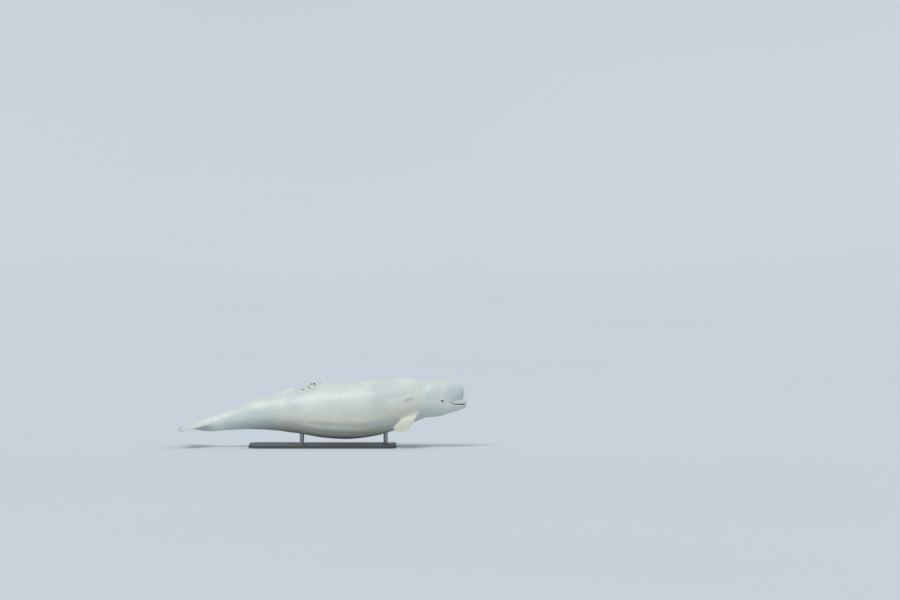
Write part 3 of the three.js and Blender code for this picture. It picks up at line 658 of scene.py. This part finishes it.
def lid_ring(side):
    """Both eyelids as one collar: a rounded rim that slopes off into the skin, with fine folds."""
    turn = (np.arange(120) / 120 * 2 * np.pi)[:, None]
    share = np.linspace(0, 1, 26)[None, :]
    along = LID_OPENING[0] * np.cos(turn) - 2.2 * np.maximum(-np.cos(turn), 0) ** 3
    up = LID_OPENING[1] * np.sin(turn) * np.abs(np.sin(turn)) ** 0.22
    grow = 1 + LID_SPREAD * share
    a = EYE_AT[0] + along * grow
    h = EYE_AT[1] + up * (grow + 0.5 * share) + 1.5 * share * np.sin(turn)
    brow = 1 + 0.35 * np.maximum(np.sin(turn), 0)
    rim = LID_RIM * brow * bell(share - 0.16, 0.2)
    swell = 3.0 * bell(share - 0.45, 0.28) - 4.5 * share**3
    folds = 0.55 * np.cos(share * 26) * window(share, 0.3, 0.45, 0.8, 0.95)
    wrinkles = 0.3 * np.sin(turn * 23) * bell(share - 0.55, 0.25)
    return collar("lids", a, h, rim + swell + folds + wrinkles, (16, 18), side)


def ear_ring(side):
    """A low round lip about the ear's pinhole."""
    turn = (np.arange(48) / 48 * 2 * np.pi)[:, None]
    share = np.linspace(0, 1, 14)[None, :]
    radius = EAR_LIP["from"] + EAR_LIP["width"] * share
    a = EAR_AT[0] + radius * np.cos(turn)
    h = EAR_AT[1] + radius * np.sin(turn) * 0.9
    lift = EAR_LIP["height"] * bell(share - 0.2, 0.25) + 0.5 - 2.2 * share**3
    return collar("ear_lip", a, h, lift, (12, 12), side)


def ball(name, centre, radii, segments, rings):
    made = bmesh.new()
    bmesh.ops.create_uvsphere(made, u_segments=segments, v_segments=rings, radius=1.0)
    data = bpy.data.meshes.new(name)
    made.to_mesh(data)
    made.free()
    for vertex in data.vertices:
        vertex.co = Vector(c + r * v for c, r, v in zip(centre, radii, vertex.co))
    return show(name, data)


def socket(side):
    radius = EYE_RADIUS + EYE_GAP
    centre = (-EYE_SKIN[0], side * (EYE_SKIN[1] - EYE_SINK), EYE_SKIN[2])
    return ball("socket", centre, (radius,) * 3, 48, 32)


def ear_hole(side):
    depth = skin_side(*np.array([[EAR_AT[0]], [EAR_AT[1]]]))[0]
    return ball("ear", (-EAR_AT[0], side * depth, EAR_AT[1]), EAR_PINHOLE, 32, 20)


def blowhole_slot():
    share = np.linspace(-1, 1, 41)
    y = BLOWHOLE["half"] * share
    a = BLOWHOLE["station"] - BLOWHOLE["bow"] * share**2
    top = cast_out(np.stack([a, y, np.zeros_like(a)], axis=-1), UP)[:, 2]
    wide = BLOWHOLE["slot"] * np.sqrt(1.02 - share**2) + 0.4
    deep = BLOWHOLE["depth"] * np.sqrt(1.05 - share**2)
    corners = [(-1.6, 14), (1.6, 14), (1.0, 0), (0.7, -0.5), (-0.5, -0.5), (-1.0, 0)]
    sections = []
    for across, level in corners:
        down = np.where(level < 0, -deep, level)
        sections.append(np.stack([a + across * wide, y, top + down], axis=-1))
    return loft("slot", np.stack(sections, axis=1))


# The skin: one closed surface for all flesh, bent into the pose


def shell_arrays(data):
    points = np.empty(len(data.vertices) * 3)
    data.vertices.foreach_get("co", points)
    return points.reshape(-1, 3) * (-1, 1, 1)


def neighbours(data):
    edges = np.empty(len(data.edges) * 2, np.int64)
    data.edges.foreach_get("vertices", edges)
    return edges.reshape(-1, 2)


def relax(points, edges, weight, rounds):
    """Moves each point towards the middle of its neighbours, by its weight."""
    count = np.bincount(edges.ravel(), minlength=len(points))[:, None]
    for _ in range(rounds):
        total = np.zeros_like(points)
        for axis in range(3):
            total[:, axis] = np.bincount(edges[:, 0], points[edges[:, 1], axis], len(points))
            total[:, axis] += np.bincount(edges[:, 1], points[edges[:, 0], axis], len(points))
        points = points + weight[:, None] * 0.6 * (total / count - points)
    return points


def outward(points, data):
    """Each point's normal, from the triangles round it."""
    data.calc_loop_triangles()
    corners = np.empty(len(data.loop_triangles) * 3, np.int64)
    data.loop_triangles.foreach_get("vertices", corners)
    corners = corners.reshape(-1, 3)
    p, q, r = (points[corners[:, i]] for i in range(3))
    flat = np.cross(q - p, r - p)
    total = np.zeros_like(points)
    for i in range(3):
        for axis in range(3):
            total[:, axis] += np.bincount(corners[:, i], flat[:, axis], len(points))
    total *= -1  # stations run against the X axis
    return total / np.maximum(np.linalg.norm(total, axis=1, keepdims=True), 1e-12)


# Old wounds on and under the ridge. A place is a station and how far under the back's line it lies.

GASHES = (  # both ends, and the groove's dent
    ((2304, 14), (2252, 86), (5.0, 8.0)), ((2236, 22), (2166, 84), (5.5, 8.0)),
    ((2192, 16), (2156, 52), (4.0, 6.5)), ((2176, -8), (2142, 30), (5.0, 7.0)),
    ((2268, 8), (2226, 58), (3.5, 6.5)),
)
HOLES = (  # place and dent
    ((2174, -12), (9, 10.4)), ((2341, 17), (10, 12.0)), ((2223, -22), (5, 8.8)),
    ((2247, 18), (5, 8.8)), ((2120, -16), (4, 7.2)), ((2080, -12), (3, 6.4)),
)
SCARS_DOWN_TO = 190  # under the back's line


def gash_depth(a, under):
    """Grooves that end softly at both ends, one beside the other."""
    total = 0
    for (a0, u0), (a1, u1), pair in GASHES:
        run_a, run_u = a1 - a0, u1 - u0
        length = math.hypot(run_a, run_u)
        share = ((a - a0) * run_a + (under - u0) * run_u) / length**2
        beside = np.abs((a - a0) * run_u - (under - u0) * run_a) / length
        beyond = np.maximum(np.maximum(-share, share - 1), 0) * length
        total += dent(np.hypot(beside, beyond), pair)
    return total


def mostly_right(y):
    """Full strength on the whale's right, a trace on its left."""
    return 1 - 0.85 * fade(y, -8, 30)


def scar_depth(a, y, h):
    under = BACK(a) - h
    total = gash_depth(a, under) * mostly_right(y)
    for (at, low), pair in HOLES:
        total += dent(np.hypot(a - at, under - low), pair)
    return total * (under < SCARS_DOWN_TO) * (h > 0)


def fine_relief(points):
    """How far the skin's small forms stand out, in millimetres."""
    a, y, h = points.T
    trunk = fade(a, 500, 800)
    lumps = 1.6 * noise(points, (160, 110, 110), 3) * trunk + 0.7 * noise(points, (60, 45, 45), 4)
    creases = -0.7 * (1 - np.abs(noise(points, (46, 150, 150), 5))) ** 6 * trunk
    streaks = -0.5 * (1 - np.abs(noise(points, (190, 26, 26), 6))) ** 8 * trunk
    return lumps + creases + streaks - scar_depth(a, y, h)


NAVEL = {"station": 1880, "pit": (5.0, 11), "rim": (-1.6, 26)}
SLIT = {"from": 2440, "to": 2660, "ends": 60, "cut": (6.5, 3.4), "lips": (-2.4, 8)}
VENT = {"station": 2790, "pit": (4.5, 7), "rim": (-1.5, 20)}
UNDERSIDE = -60  # height under which these lie


def vent_cut(points):
    """How deep navel, genital slit and vent go into the belly's midline."""
    a, y, h = points.T
    from_navel, from_vent = a - NAVEL["station"], a - VENT["station"]
    navel = dent(np.hypot(from_navel, y * 1.2), NAVEL["pit"]) + dent(np.hypot(from_navel, y), NAVEL["rim"])
    ends = window(a, SLIT["from"], SLIT["from"] + SLIT["ends"], SLIT["to"] - SLIT["ends"], SLIT["to"])
    slit = ends * (dent(y, SLIT["cut"]) + dent(np.abs(y) - 12, SLIT["lips"]))
    vent = dent(np.hypot(from_vent / 1.6, y), VENT["pit"]) + dent(np.hypot(from_vent, y), VENT["rim"])
    return np.where(h < UNDERSIDE, navel + slit + vent, 0)


def joined_body():
    """The shell with fins, lids and ear lips joined on, and with sockets, ears and blowhole cut in."""
    body = body_shell()
    for side in SIDES:
        combine(body, flipper(side), "UNION")
    combine(body, flukes(), "UNION")
    for side in SIDES:
        combine(body, lid_ring(side), "UNION")
        combine(body, ear_ring(side), "UNION")
    for side in SIDES:
        combine(body, socket(side), "DIFFERENCE")
        combine(body, ear_hole(side), "DIFFERENCE")
    combine(body, blowhole_slot(), "DIFFERENCE")
    return body


def near(points, others, reach):
    """Whether each point lies within reach of one of the others, by cells of that size."""
    steps = list(product((-1, 0, 1), repeat=3))
    cells = {tuple(c) for c in np.floor(others / reach).astype(int)}
    wide = {(i + di, j + dj, k + dk) for i, j, k in cells for di, dj, dk in steps}
    return np.array([tuple(c) in wide for c in np.floor(points / reach).astype(int)])


FLUKES_FROM = 3500
FLIPPERS_TO = 1400
FLIPPERS_BESIDE = 200
FIN_ROOTS = {"from": 4, "to": 14, "reach": 30, "softness": 26, "rounds": 22}
STOCK_END = {"stations": (3590, 3680, 3930, 3985), "half": (50, 110), "rounds": 45}


def smooth_roots(points, edges, depth):
    """Relaxes the skin where flippers and flukes run into the body."""
    a, side = points[:, 0], np.abs(points[:, 1])
    on_flippers = (side > FLIPPERS_BESIDE) & (a < FLIPPERS_TO)
    fins = (depth > FIN_ROOTS["from"]) & ((a > FLUKES_FROM) | on_flippers)
    root = near(points, points[fins & (depth < FIN_ROOTS["to"])], FIN_ROOTS["reach"])
    points = relax(points, edges, root * bell(depth, FIN_ROOTS["softness"]), FIN_ROOTS["rounds"])
    along = window(points[:, 0], *STOCK_END["stations"])
    across = 1 - fade(np.abs(points[:, 1]), *STOCK_END["half"])
    return relax(points, edges, along * across, STOCK_END["rounds"])


def make_skin():
    """The skin's object, still straight, and its points with their fine relief."""
    body = joined_body()
    points = shell_arrays(body.data)
    depth = plain_field(*points.T)
    points = smooth_roots(points, neighbours(body.data), depth)
    a, _, h = points.T
    moved = fine_relief(points) * (0.25 + 0.75 * fade(a, 260, 420)) * (1 - 0.9 * fade(depth, 10, 90))
    moved -= vent_cut(points)
    for (at, level), width in ((EYE_AT, 40), (EAR_AT, 26)):
        moved *= 1 - bell(np.hypot(a - at, h - level), width)
    return body, points + outward(points, body.data) * moved[:, None]


# Stains and marks, painted shade and a painted highlight, kept as numbers on the skin's points for its
# material


def keep_mask(data, name, values):
    layer = data.attributes.new(name, "FLOAT", "POINT")
    layer.data.foreach_set("value", np.clip(values, 0, 1).astype(np.float32))


def scar_masks(a, y, h, rough):
    """Painted shade in the gash grooves, and rusty raw skin on the ridge's stairs."""
    under = BACK(a) - h
    gash_shade = fade(gash_depth(a, under), 0.8, 4.0) * mostly_right(y) * (h > 0)
    stairs = bell(a - 2250, 34) + 0.7 * bell(a - 2366, 18) + 0.5 * bell(a - 2205, 16)
    crest = bell(y, 30) * fade(-under, -26, 8) * np.clip(stairs, 0, 1)
    return {"gash_shade": gash_shade * (0.15 + 1.1 * rough), "rust": crest * (h > 0) * (0.65 + 0.6 * rough)}


def flank_masks(a, y, h, rough):
    """A brownish stain, a band of painted shade along a fold above it, a painted highlight over the right
    flipper, and warmer skin low down.
    """
    right = y < 0
    patch = bell(a - 828, 66) * bell(h - 58 + 0.14 * (a - 828), 22)
    # a band of painted shade along a fold of the flank
    crease_shade = bell(a - 890, 150) * bell(h - 150 - 12 * np.sin(a / 90), 13)
    warm = fade(-h, -140, 120) * window(a, 500, 900, 2400, 3000)
    cloud = noise(np.stack([a, y, h], axis=-1), (260, 120, 120), 12)
    return {
        "stain_and_fold_shade": (0.8 * patch + 0.32 * crease_shade) * right * (0.25 + 1.1 * rough),
        # a painted highlight on the right flank
        "flank_highlight": bell(a - 880, 180) * bell(h - 90, 70) * right,
        "warm": warm * (0.6 + 0.4 * cloud),
    }


def edge_mask(a, y, depth, rough):
    """Greyer skin on the flukes, most of all along their hind rim, and on the flippers' outer parts."""
    fluke = fade(depth, 20, 70) * fade(a, 3560, 3640)
    hind_rim = FLUKE_TRAIL(np.clip(np.abs(y) / (FLUKE_SPAN / 2), 0, 1))
    trailing = fade(a, hind_rim - 62, hind_rim - 4)
    paddle = fade(depth, 30, 160) * (a < FLIPPERS_TO)
    return fluke * (0.2 + trailing) * (0.6 + 0.5 * rough) + paddle * (0.35 + 0.4 * rough)


def opening_masks(a, y, h, vents):
    """Painted shade in the depths of mouth, blowhole, lids and vents, and pink skin round eyes and lips."""
    off = h - MOUTH(a)
    lips = (1 - fade(a, MOUTH_CORNER - 6, MOUTH_CORNER + 12)) * bell(off, 4.2)
    hole = (h > CROWN) * bell(blowhole_distance(a, y), 6.5)
    from_eye = np.hypot((a - EYE_AT[0]) / 1.25, h - EYE_AT[1])
    beside = np.abs(y) > 100
    # painted shade in the mouth line, blowhole, lid openings and belly pits
    dark = lips * 0.9 + hole + 0.65 * beside * bell(from_eye, 15) + 0.5 * (vents > 2)
    pink = 0.8 * beside * bell(from_eye - 12, 9) + 0.4 * bell(off, 12) * (a < 240)
    return {"crease_shade": dark, "pink": pink}


def paint(data, points):
    a, y, h = points.T
    rough = 0.5 + 0.5 * noise(points, (20, 14, 14), 11)
    masks = {
        **scar_masks(a, y, h, rough),
        **flank_masks(a, y, h, rough),
        "edge": edge_mask(a, y, plain_field(a, y, h), rough),
        **opening_masks(a, y, h, vent_cut(points)),
    }
    for name, values in masks.items():
        keep_mask(data, name, values)


# Materials


def rgb(red, green, blue):
    """Screen colour numbers from 0 to 255, as light."""
    parts = [c / 255 for c in (red, green, blue)]
    return (*[c / 12.92 if c < 0.04045 else ((c + 0.055) / 1.055) ** 2.4 for c in parts], 1.0)


RAGGED_SCALE = 70.0
RAGGED_BY = 0.010  # metres


class Finish:
    """A material under construction. Its values are fixed ones or other nodes' outputs."""

    def __init__(self, name):
        self.material = bpy.data.materials.new(name)
        self.material.use_nodes = True
        self.tree = self.material.node_tree
        self.shader = self.tree.nodes["Principled BSDF"]
        self.places = self.node("ShaderNodeTexCoord", {}).outputs["Object"]
        self.ragged = None

    def fill(self, node, values):
        """Sets or links a node's inputs."""
        for key, value in values.items():
            if isinstance(value, bpy.types.NodeSocket):
                self.tree.links.new(value, node.inputs[key])
            else:
                node.inputs[key].default_value = value

    def node(self, kind, values, **settings):
        node = self.tree.nodes.new(kind)
        for name, setting in settings.items():
            setattr(node, name, setting)
        self.fill(node, values)
        return node

    def noise(self, scale, detail=4.0, roughness=0.55, stretch=(1, 1, 1), warp=0.0):
        placed = self.node("ShaderNodeMapping", {"Scale": stretch, "Vector": self.places})
        values = {"Scale": scale, "Detail": detail, "Roughness": roughness, "Distortion": warp}
        values["Vector"] = placed.outputs["Vector"]
        return self.node("ShaderNodeTexNoise", values).outputs["Fac"]

    def mask(self, name):
        return self.node("ShaderNodeAttribute", {}, attribute_name=name).outputs["Fac"]

    def ramp(self, value, low, high, from_value=0.0, to_value=1.0):
        values = {"Value": value, "From Min": low, "From Max": high, "To Min": from_value, "To Max": to_value}
        return self.node("ShaderNodeMapRange", values, interpolation_type="SMOOTHSTEP").outputs["Result"]

    def vector(self, operation, first, second):
        return self.node("ShaderNodeVectorMath", {0: first, 1: second}, operation=operation).outputs["Vector"]

    def mix(self, share, first, second):
        values = {0: share, 6: first, 7: second}  # the factor and the two colours
        return self.node("ShaderNodeMix", values, data_type="RGBA").outputs[2]

    def tint(self, colour, paint, *shares):
        """Paints over a colour as strongly as the product of the shares."""
        strength = shares[0]
        for share in shares[1:]:
            product = self.node("ShaderNodeMath", {0: strength, 1: share}, operation="MULTIPLY")
            strength = product.outputs["Value"]
        return self.mix(strength, colour, paint)

    def spot(self, centre, along, up, softness):
        """A mark with a ragged edge round a place on the skin."""
        if self.ragged is None:
            values = {"Scale": RAGGED_SCALE, "Detail": 4.0, "Vector": self.places}
            wobble = self.node("ShaderNodeTexNoise", values).outputs["Color"]
            moved = self.vector("MULTIPLY", self.vector("SUBTRACT", wobble, (0.5,) * 3), (RAGGED_BY,) * 3)
            self.ragged = self.vector("ADD", self.places, moved)
        share = self.vector("DIVIDE", self.vector("SUBTRACT", self.ragged, centre), (along, 2.2 * up, up))
        length = self.node("ShaderNodeVectorMath", {0: share}, operation="LENGTH")
        return self.ramp(length.outputs["Value"], 1.0, 1.0 - softness)

    def bump(self, *layers):
        """Bumps from (height, depth in metres) layers, the coarsest first."""
        normal = {}
        for height, depth in layers:
            node = self.node("ShaderNodeBump", {"Height": height, "Distance": depth, **normal})
            normal = {"Normal": node.outputs["Normal"]}
        self.fill(self.shader, normal)

    def done(self, values):
        self.fill(self.shader, values)
        return self.material


# Spots on the whale's right: station, depth under the back's line, radii along and up, strength
# the first two black spots are painted shade in the ridge's two deepest holes; the other two are small dark
# marks
BLACK_SPOTS = (
    (2174, -14, 16, 15, 1.0), (2340, 17, 21, 17, 1.0), (1936, 350, 7, 6, 0.8), (1714, 340, 6, 5, 0.8),
)
DARK_SPOTS = ((2120, -16, 18, 9, 0.85), (2081, -12, 18, 8, 0.75), (2158, 10, 11, 16, 0.6))
RUST_SPOTS = (
    (2223, -22, 21, 14, 1.0), (2247, 16, 20, 16, 0.9), (2268, 4, 18, 11, 0.8), (2190, -8, 15, 14, 0.8),
)
TAN_SPOTS = ((2441, 102, 34, 12, 0.35), (2306, 12, 20, 9, 0.35), (2232, 40, 22, 12, 0.35))


def on_right_skin(station, under):
    """The place in the model of a spot on the whale's right."""
    height = float(BACK(station)) - under
    return tuple(in_model(cast_out(np.array([[station, 0.0, height]]), -LEFT))[0])


def skin_finish():
    f = Finish("whale_skin")
    cloud = f.ramp(f.noise(2.2, 5, 0.6), 0.35, 0.68)
    colour = f.mix(cloud, rgb(215, 221, 215), rgb(196, 207, 206))
    blotch = f.ramp(f.noise(11, 6, 0.62, warp=0.6), 0.52, 0.72)
    colour = f.tint(colour, rgb(190, 201, 197), blotch, 0.3)
    colour = f.tint(colour, rgb(213, 208, 181), f.mask("warm"), 0.7)
    rakes = f.ramp(f.noise(5, 4, 0.6, stretch=(1, 9, 9), warp=0.5), 0.62, 0.74)
    here_and_there = f.ramp(f.noise(3.5, 2), 0.5, 0.62)
    colour = f.tint(colour, rgb(166, 176, 170), rakes, here_and_there, 0.22)
    speck = f.ramp(f.noise(140, 2, 0.5), 0.66, 0.74)
    colour = f.tint(colour, rgb(150, 158, 150), speck, 0.16)
    # a painted highlight on the right flank
    colour = f.tint(colour, rgb(232, 234, 230), f.mask("flank_highlight"), 0.5)
    colour = f.tint(colour, rgb(206, 184, 174), f.mask("pink"), 0.35)
    uneven = f.ramp(f.noise(26, 5, 0.6), 0.3, 0.7, 0.55, 1.0)
    colour = f.tint(colour, rgb(140, 146, 140), f.mask("edge"), uneven, 0.6)
    streak = f.ramp(f.noise(34, 4, 0.6, stretch=(1, 3, 3)), 0.35, 0.6, 0.4, 1.0)
    # a brownish stain, and painted shade along a fold of the flank
    colour = f.tint(colour, rgb(142, 124, 96), f.mask("stain_and_fold_shade"), streak)
    # painted shade in the gash grooves under the ridge
    colour = f.tint(colour, rgb(150, 152, 162), f.mask("gash_shade"), 0.42)
    patchy = f.ramp(f.noise(60, 4, 0.6), 0.3, 0.6, 0.4, 1.0)
    colour = f.tint(colour, rgb(150, 104, 74), f.mask("rust"), patchy)
    for spots, softness, paint_colour in (
        (TAN_SPOTS, 0.8, rgb(150, 132, 104)),
        (RUST_SPOTS, 0.7, rgb(120, 74, 46)),
        (DARK_SPOTS, 0.6, rgb(74, 72, 64)),
        (BLACK_SPOTS, 0.5, rgb(22, 20, 20)),
    ):
        for station, under, along, up, strength in spots:
            mark = f.spot(on_right_skin(station, under), along * MM, up * MM, softness)
            colour = f.tint(colour, paint_colour, mark, strength)
    # painted shade in the mouth line, blowhole, lid openings and belly pits
    colour = f.tint(colour, rgb(58, 52, 50), f.mask("crease_shade"), 0.85)
    f.bump(
        (f.noise(14, 4, 0.5, stretch=(1, 2.0, 2.0)), 0.0022),
        (f.noise(26, 3, 0.5, stretch=(2.6, 0.7, 0.7)), 0.0012),
        (f.noise(110, 4, 0.55), 0.00034),
        (f.noise(460, 2, 0.5), 0.0001),
    )
    wet = f.ramp(f.noise(7, 4, 0.55), 0.3, 0.7, 0.36, 0.52)
    return f.done({
        "Base Color": colour, "Roughness": wet, "Specular IOR Level": 0.42,
        "Coat Weight": 0.14, "Coat Roughness": 0.18,
    })


def eye_finish():
    f = Finish("whale_eye")
    iris = f.mix(f.ramp(f.noise(900, 3, 0.6), 0.35, 0.65), rgb(46, 30, 22), rgb(26, 17, 13))
    colour = f.tint(iris, rgb(6, 6, 8), f.mask("pupil"))
    colour = f.tint(colour, rgb(120, 108, 100), f.mask("white"))
    f.bump((f.noise(700, 2, 0.5), 0.00008))
    return f.done({
        "Base Color": colour, "Roughness": 0.3, "Specular IOR Level": 0.15,
        "Coat Weight": 0.8, "Coat IOR": 1.38, "Coat Roughness": 0.03,
    })


def base_finish():
    f = Finish("base_paint")
    colour = f.mix(f.ramp(f.noise(3, 4), 0.3, 0.7), rgb(74, 78, 82), rgb(66, 70, 74))
    worn = f.ramp(f.noise(30, 6, 0.7), 0.62, 0.72)
    colour = f.tint(colour, rgb(96, 99, 101), worn, 0.3)
    f.bump((f.noise(260, 3, 0.6), 0.00025))
    return f.done({"Base Color": colour, "Roughness": f.ramp(f.noise(18, 4), 0.3, 0.7, 0.42, 0.58)})


def rod_finish():
    f = Finish("rod_steel")
    brushed = f.noise(40, 3, 0.6, stretch=(1, 1, 60))
    colour = f.mix(f.ramp(brushed, 0.3, 0.7), rgb(176, 180, 183), rgb(150, 154, 158))
    f.bump((brushed, 0.00012))
    rough = f.ramp(brushed, 0.3, 0.7, 0.26, 0.40)
    return f.done({"Base Color": colour, "Metallic": 1.0, "Roughness": rough})


def floor_finish():
    f = Finish("floor")
    colour = f.mix(f.ramp(f.noise(0.05, 3), 0.3, 0.7), rgb(203, 210, 216), rgb(200, 208, 214))
    return f.done({"Base Color": colour, "Roughness": 0.8, "Specular IOR Level": 0.2})


# Eyeballs

PUPIL = (0.36, 0.24)  # half its length and height, in eye radii


def eyeball(side, node, finish):
    """A domed eye: a dark brown iris round a wide pupil, under a clear coat."""
    centre, radius = eye_middle(node), EYE_RADIUS * MM
    made = ball(node.replace("eye", "eyeball"), centre, (radius,) * 3, 96, 64)
    points = np.array([(v.co - Vector(centre)) / radius for v in made.data.vertices])
    flat = np.hypot(points[:, 0], points[:, 2])
    seen = points[:, 1] * side > 0
    pupil = np.hypot(points[:, 0] / PUPIL[0], points[:, 2] / PUPIL[1])
    keep_mask(made.data, "pupil", (1 - fade(pupil, 0.85, 1.1)) * seen)
    keep_mask(made.data, "white", np.where(seen, fade(flat, 0.72, 0.8), 1.0))
    made.data.shade_smooth()
    made.data.materials.append(finish)
    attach(made, "root")
    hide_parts(node)


# The stand's rods

ROD_RADIUS = 32.0
ROD_FILLET = 10.0
ROD_SIDES = 96
ROD_SINKS_IN = 2.0  # into the skin, so that no gap shows
FLANGE_RADIUS = 84.0
FLANGE_HEIGHT = 12.0
FLANGE_EDGE = 3.0


def round_rod(node, tree, finish):
    """The CAD rod with a rounder bar: its foot flange, its fillet and a top that follows the skin over it."""
    low, high = (np.array(corner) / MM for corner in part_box(node))
    middle = (low + high) / 2
    arc = [(math.sin(t), math.cos(t)) for t in np.radians(np.linspace(0, 90, 7))]
    edge, inner, upper = FLANGE_EDGE, FLANGE_RADIUS - FLANGE_EDGE, FLANGE_HEIGHT - FLANGE_EDGE
    outline = [(inner + edge * s, edge - edge * c) for s, c in arc]
    outline += [(inner + edge * c, upper + edge * s) for s, c in arc]
    outline += [(ROD_RADIUS + ROD_FILLET * (1 - s), FLANGE_HEIGHT + ROD_FILLET * (1 - c)) for s, c in arc]
    turn = np.arange(ROD_SIDES) / ROD_SIDES * 2 * np.pi
    across = np.stack([np.cos(turn), np.sin(turn)], axis=-1)
    rings = [np.column_stack([middle[:2] + r * across, np.full(ROD_SIDES, low[2] + up)]) for r, up in outline]
    top = rings[-1].copy()
    for point in top:
        hit = tree.ray_cast(Vector(point * MM), Vector((0, 0, 1)))[0]
        point[2] = hit.z / MM + ROD_SINKS_IN
    made = loft(node.replace("rod", "bar"), np.array([*rings, top]) * MM * (-1, 1, 1))
    made.data.shade_smooth()
    made.data.set_sharp_from_angle(angle=math.radians(40))
    made.data.materials.append(finish)
    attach(made, "root")
    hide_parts(node)


# Assembly

skin, straight = make_skin()
paint(skin.data, straight)
skin.data.vertices.foreach_set("co", in_model(straight).ravel())
skin.data.update()
skin.data.shade_smooth()
skin.data.materials.clear()
skin.data.materials.append(skin_finish())
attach(skin, "root")
FLESH = [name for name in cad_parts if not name.startswith(("eye_", "stand_"))]
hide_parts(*FLESH)

EYE_FINISH = eye_finish()
eyeball(1, "eye_left", EYE_FINISH)
eyeball(-1, "eye_right", EYE_FINISH)

STEEL = rod_finish()
SKIN_TREE = BVHTree.FromObject(skin, bpy.context.evaluated_depsgraph_get())
round_rod("stand_rod_front", SKIN_TREE, STEEL)
round_rod("stand_rod_rear", SKIN_TREE, STEEL)
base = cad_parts["stand_base"]
base.data.materials.clear()
base.data.materials.append(base_finish())


# Studio


def studio_bowl():
    """A wide pale floor that rises all round into its own backdrop."""
    flat, bend, sides = 80.0, 30.0, 96
    rim = [(radius, 0.0) for radius in (4.0, 20.0, 50.0)]
    rim += [(flat + bend * math.sin(t), bend * (1 - math.cos(t))) for t in np.radians(np.arange(0, 96, 6))]
    points = [(0.0, 0.0, 0.0)]
    for radius, height in rim:
        for i in range(sides):
            turn = 2 * math.pi * i / sides
            points.append((radius * math.cos(turn), radius * math.sin(turn), height))
    lines = np.arange(len(rim) * sides).reshape(len(rim), sides) + 1
    faces = [(0, 1 + i, 1 + (i + 1) % sides) for i in range(sides)] + strips(lines, True)
    data = bpy.data.meshes.new("floor")
    data.from_pydata(points, [], [f[::-1] if len(f) == 4 else f for f in faces])
    data.shade_smooth()
    data.materials.append(floor_finish())
    made = show("floor", data)
    made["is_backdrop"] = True


def soft_sun(name, towards, strength, spread, colour):
    light = bpy.data.lights.new(name, "SUN")
    light.energy = strength
    light.angle = math.radians(spread)
    light.color = colour
    made = show(name, light)
    made.rotation_euler = Vector(towards).to_track_quat("-Z", "Y").to_euler()


def studio_air():
    world = bpy.data.worlds.new("studio")
    world.use_nodes = True
    background = world.node_tree.nodes["Background"]
    background.inputs["Color"].default_value = (0.82, 0.88, 0.93, 1)
    background.inputs["Strength"].default_value = 0.55
    scene.world = world


def camera():
    """Far off and a little above, through a long lens: the photo's viewing angle and framing."""
    sensor, focal, pixels_wide = 36.0, 200.0, 900
    pixels_per_metre = 70.0
    distance = focal / sensor * pixels_wide / pixels_per_metre
    snout_pixel, middle_pixel = 467, 450
    height, pitch_down = 4.035, 1.55
    data = bpy.data.cameras.new("camera")
    data.lens, data.sensor_width = focal, sensor
    data.clip_end = 1000
    made = show("camera", data)
    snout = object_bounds()[1].x
    x = snout - (snout_pixel - middle_pixel) / pixels_per_metre
    made.location = (x, -distance, height)
    made.rotation_euler = (math.radians(90 - pitch_down), 0, 0)
    scene.camera = made


studio_bowl()
soft_sun("key", (0.35, 0.55, -0.9), 1.7, 35, (1.0, 0.985, 0.96))
soft_sun("fill", (-0.6, -0.5, -0.6), 0.5, 60, (0.92, 0.96, 1.0))
studio_air()
camera()
scene.view_settings.view_transform = "Standard"
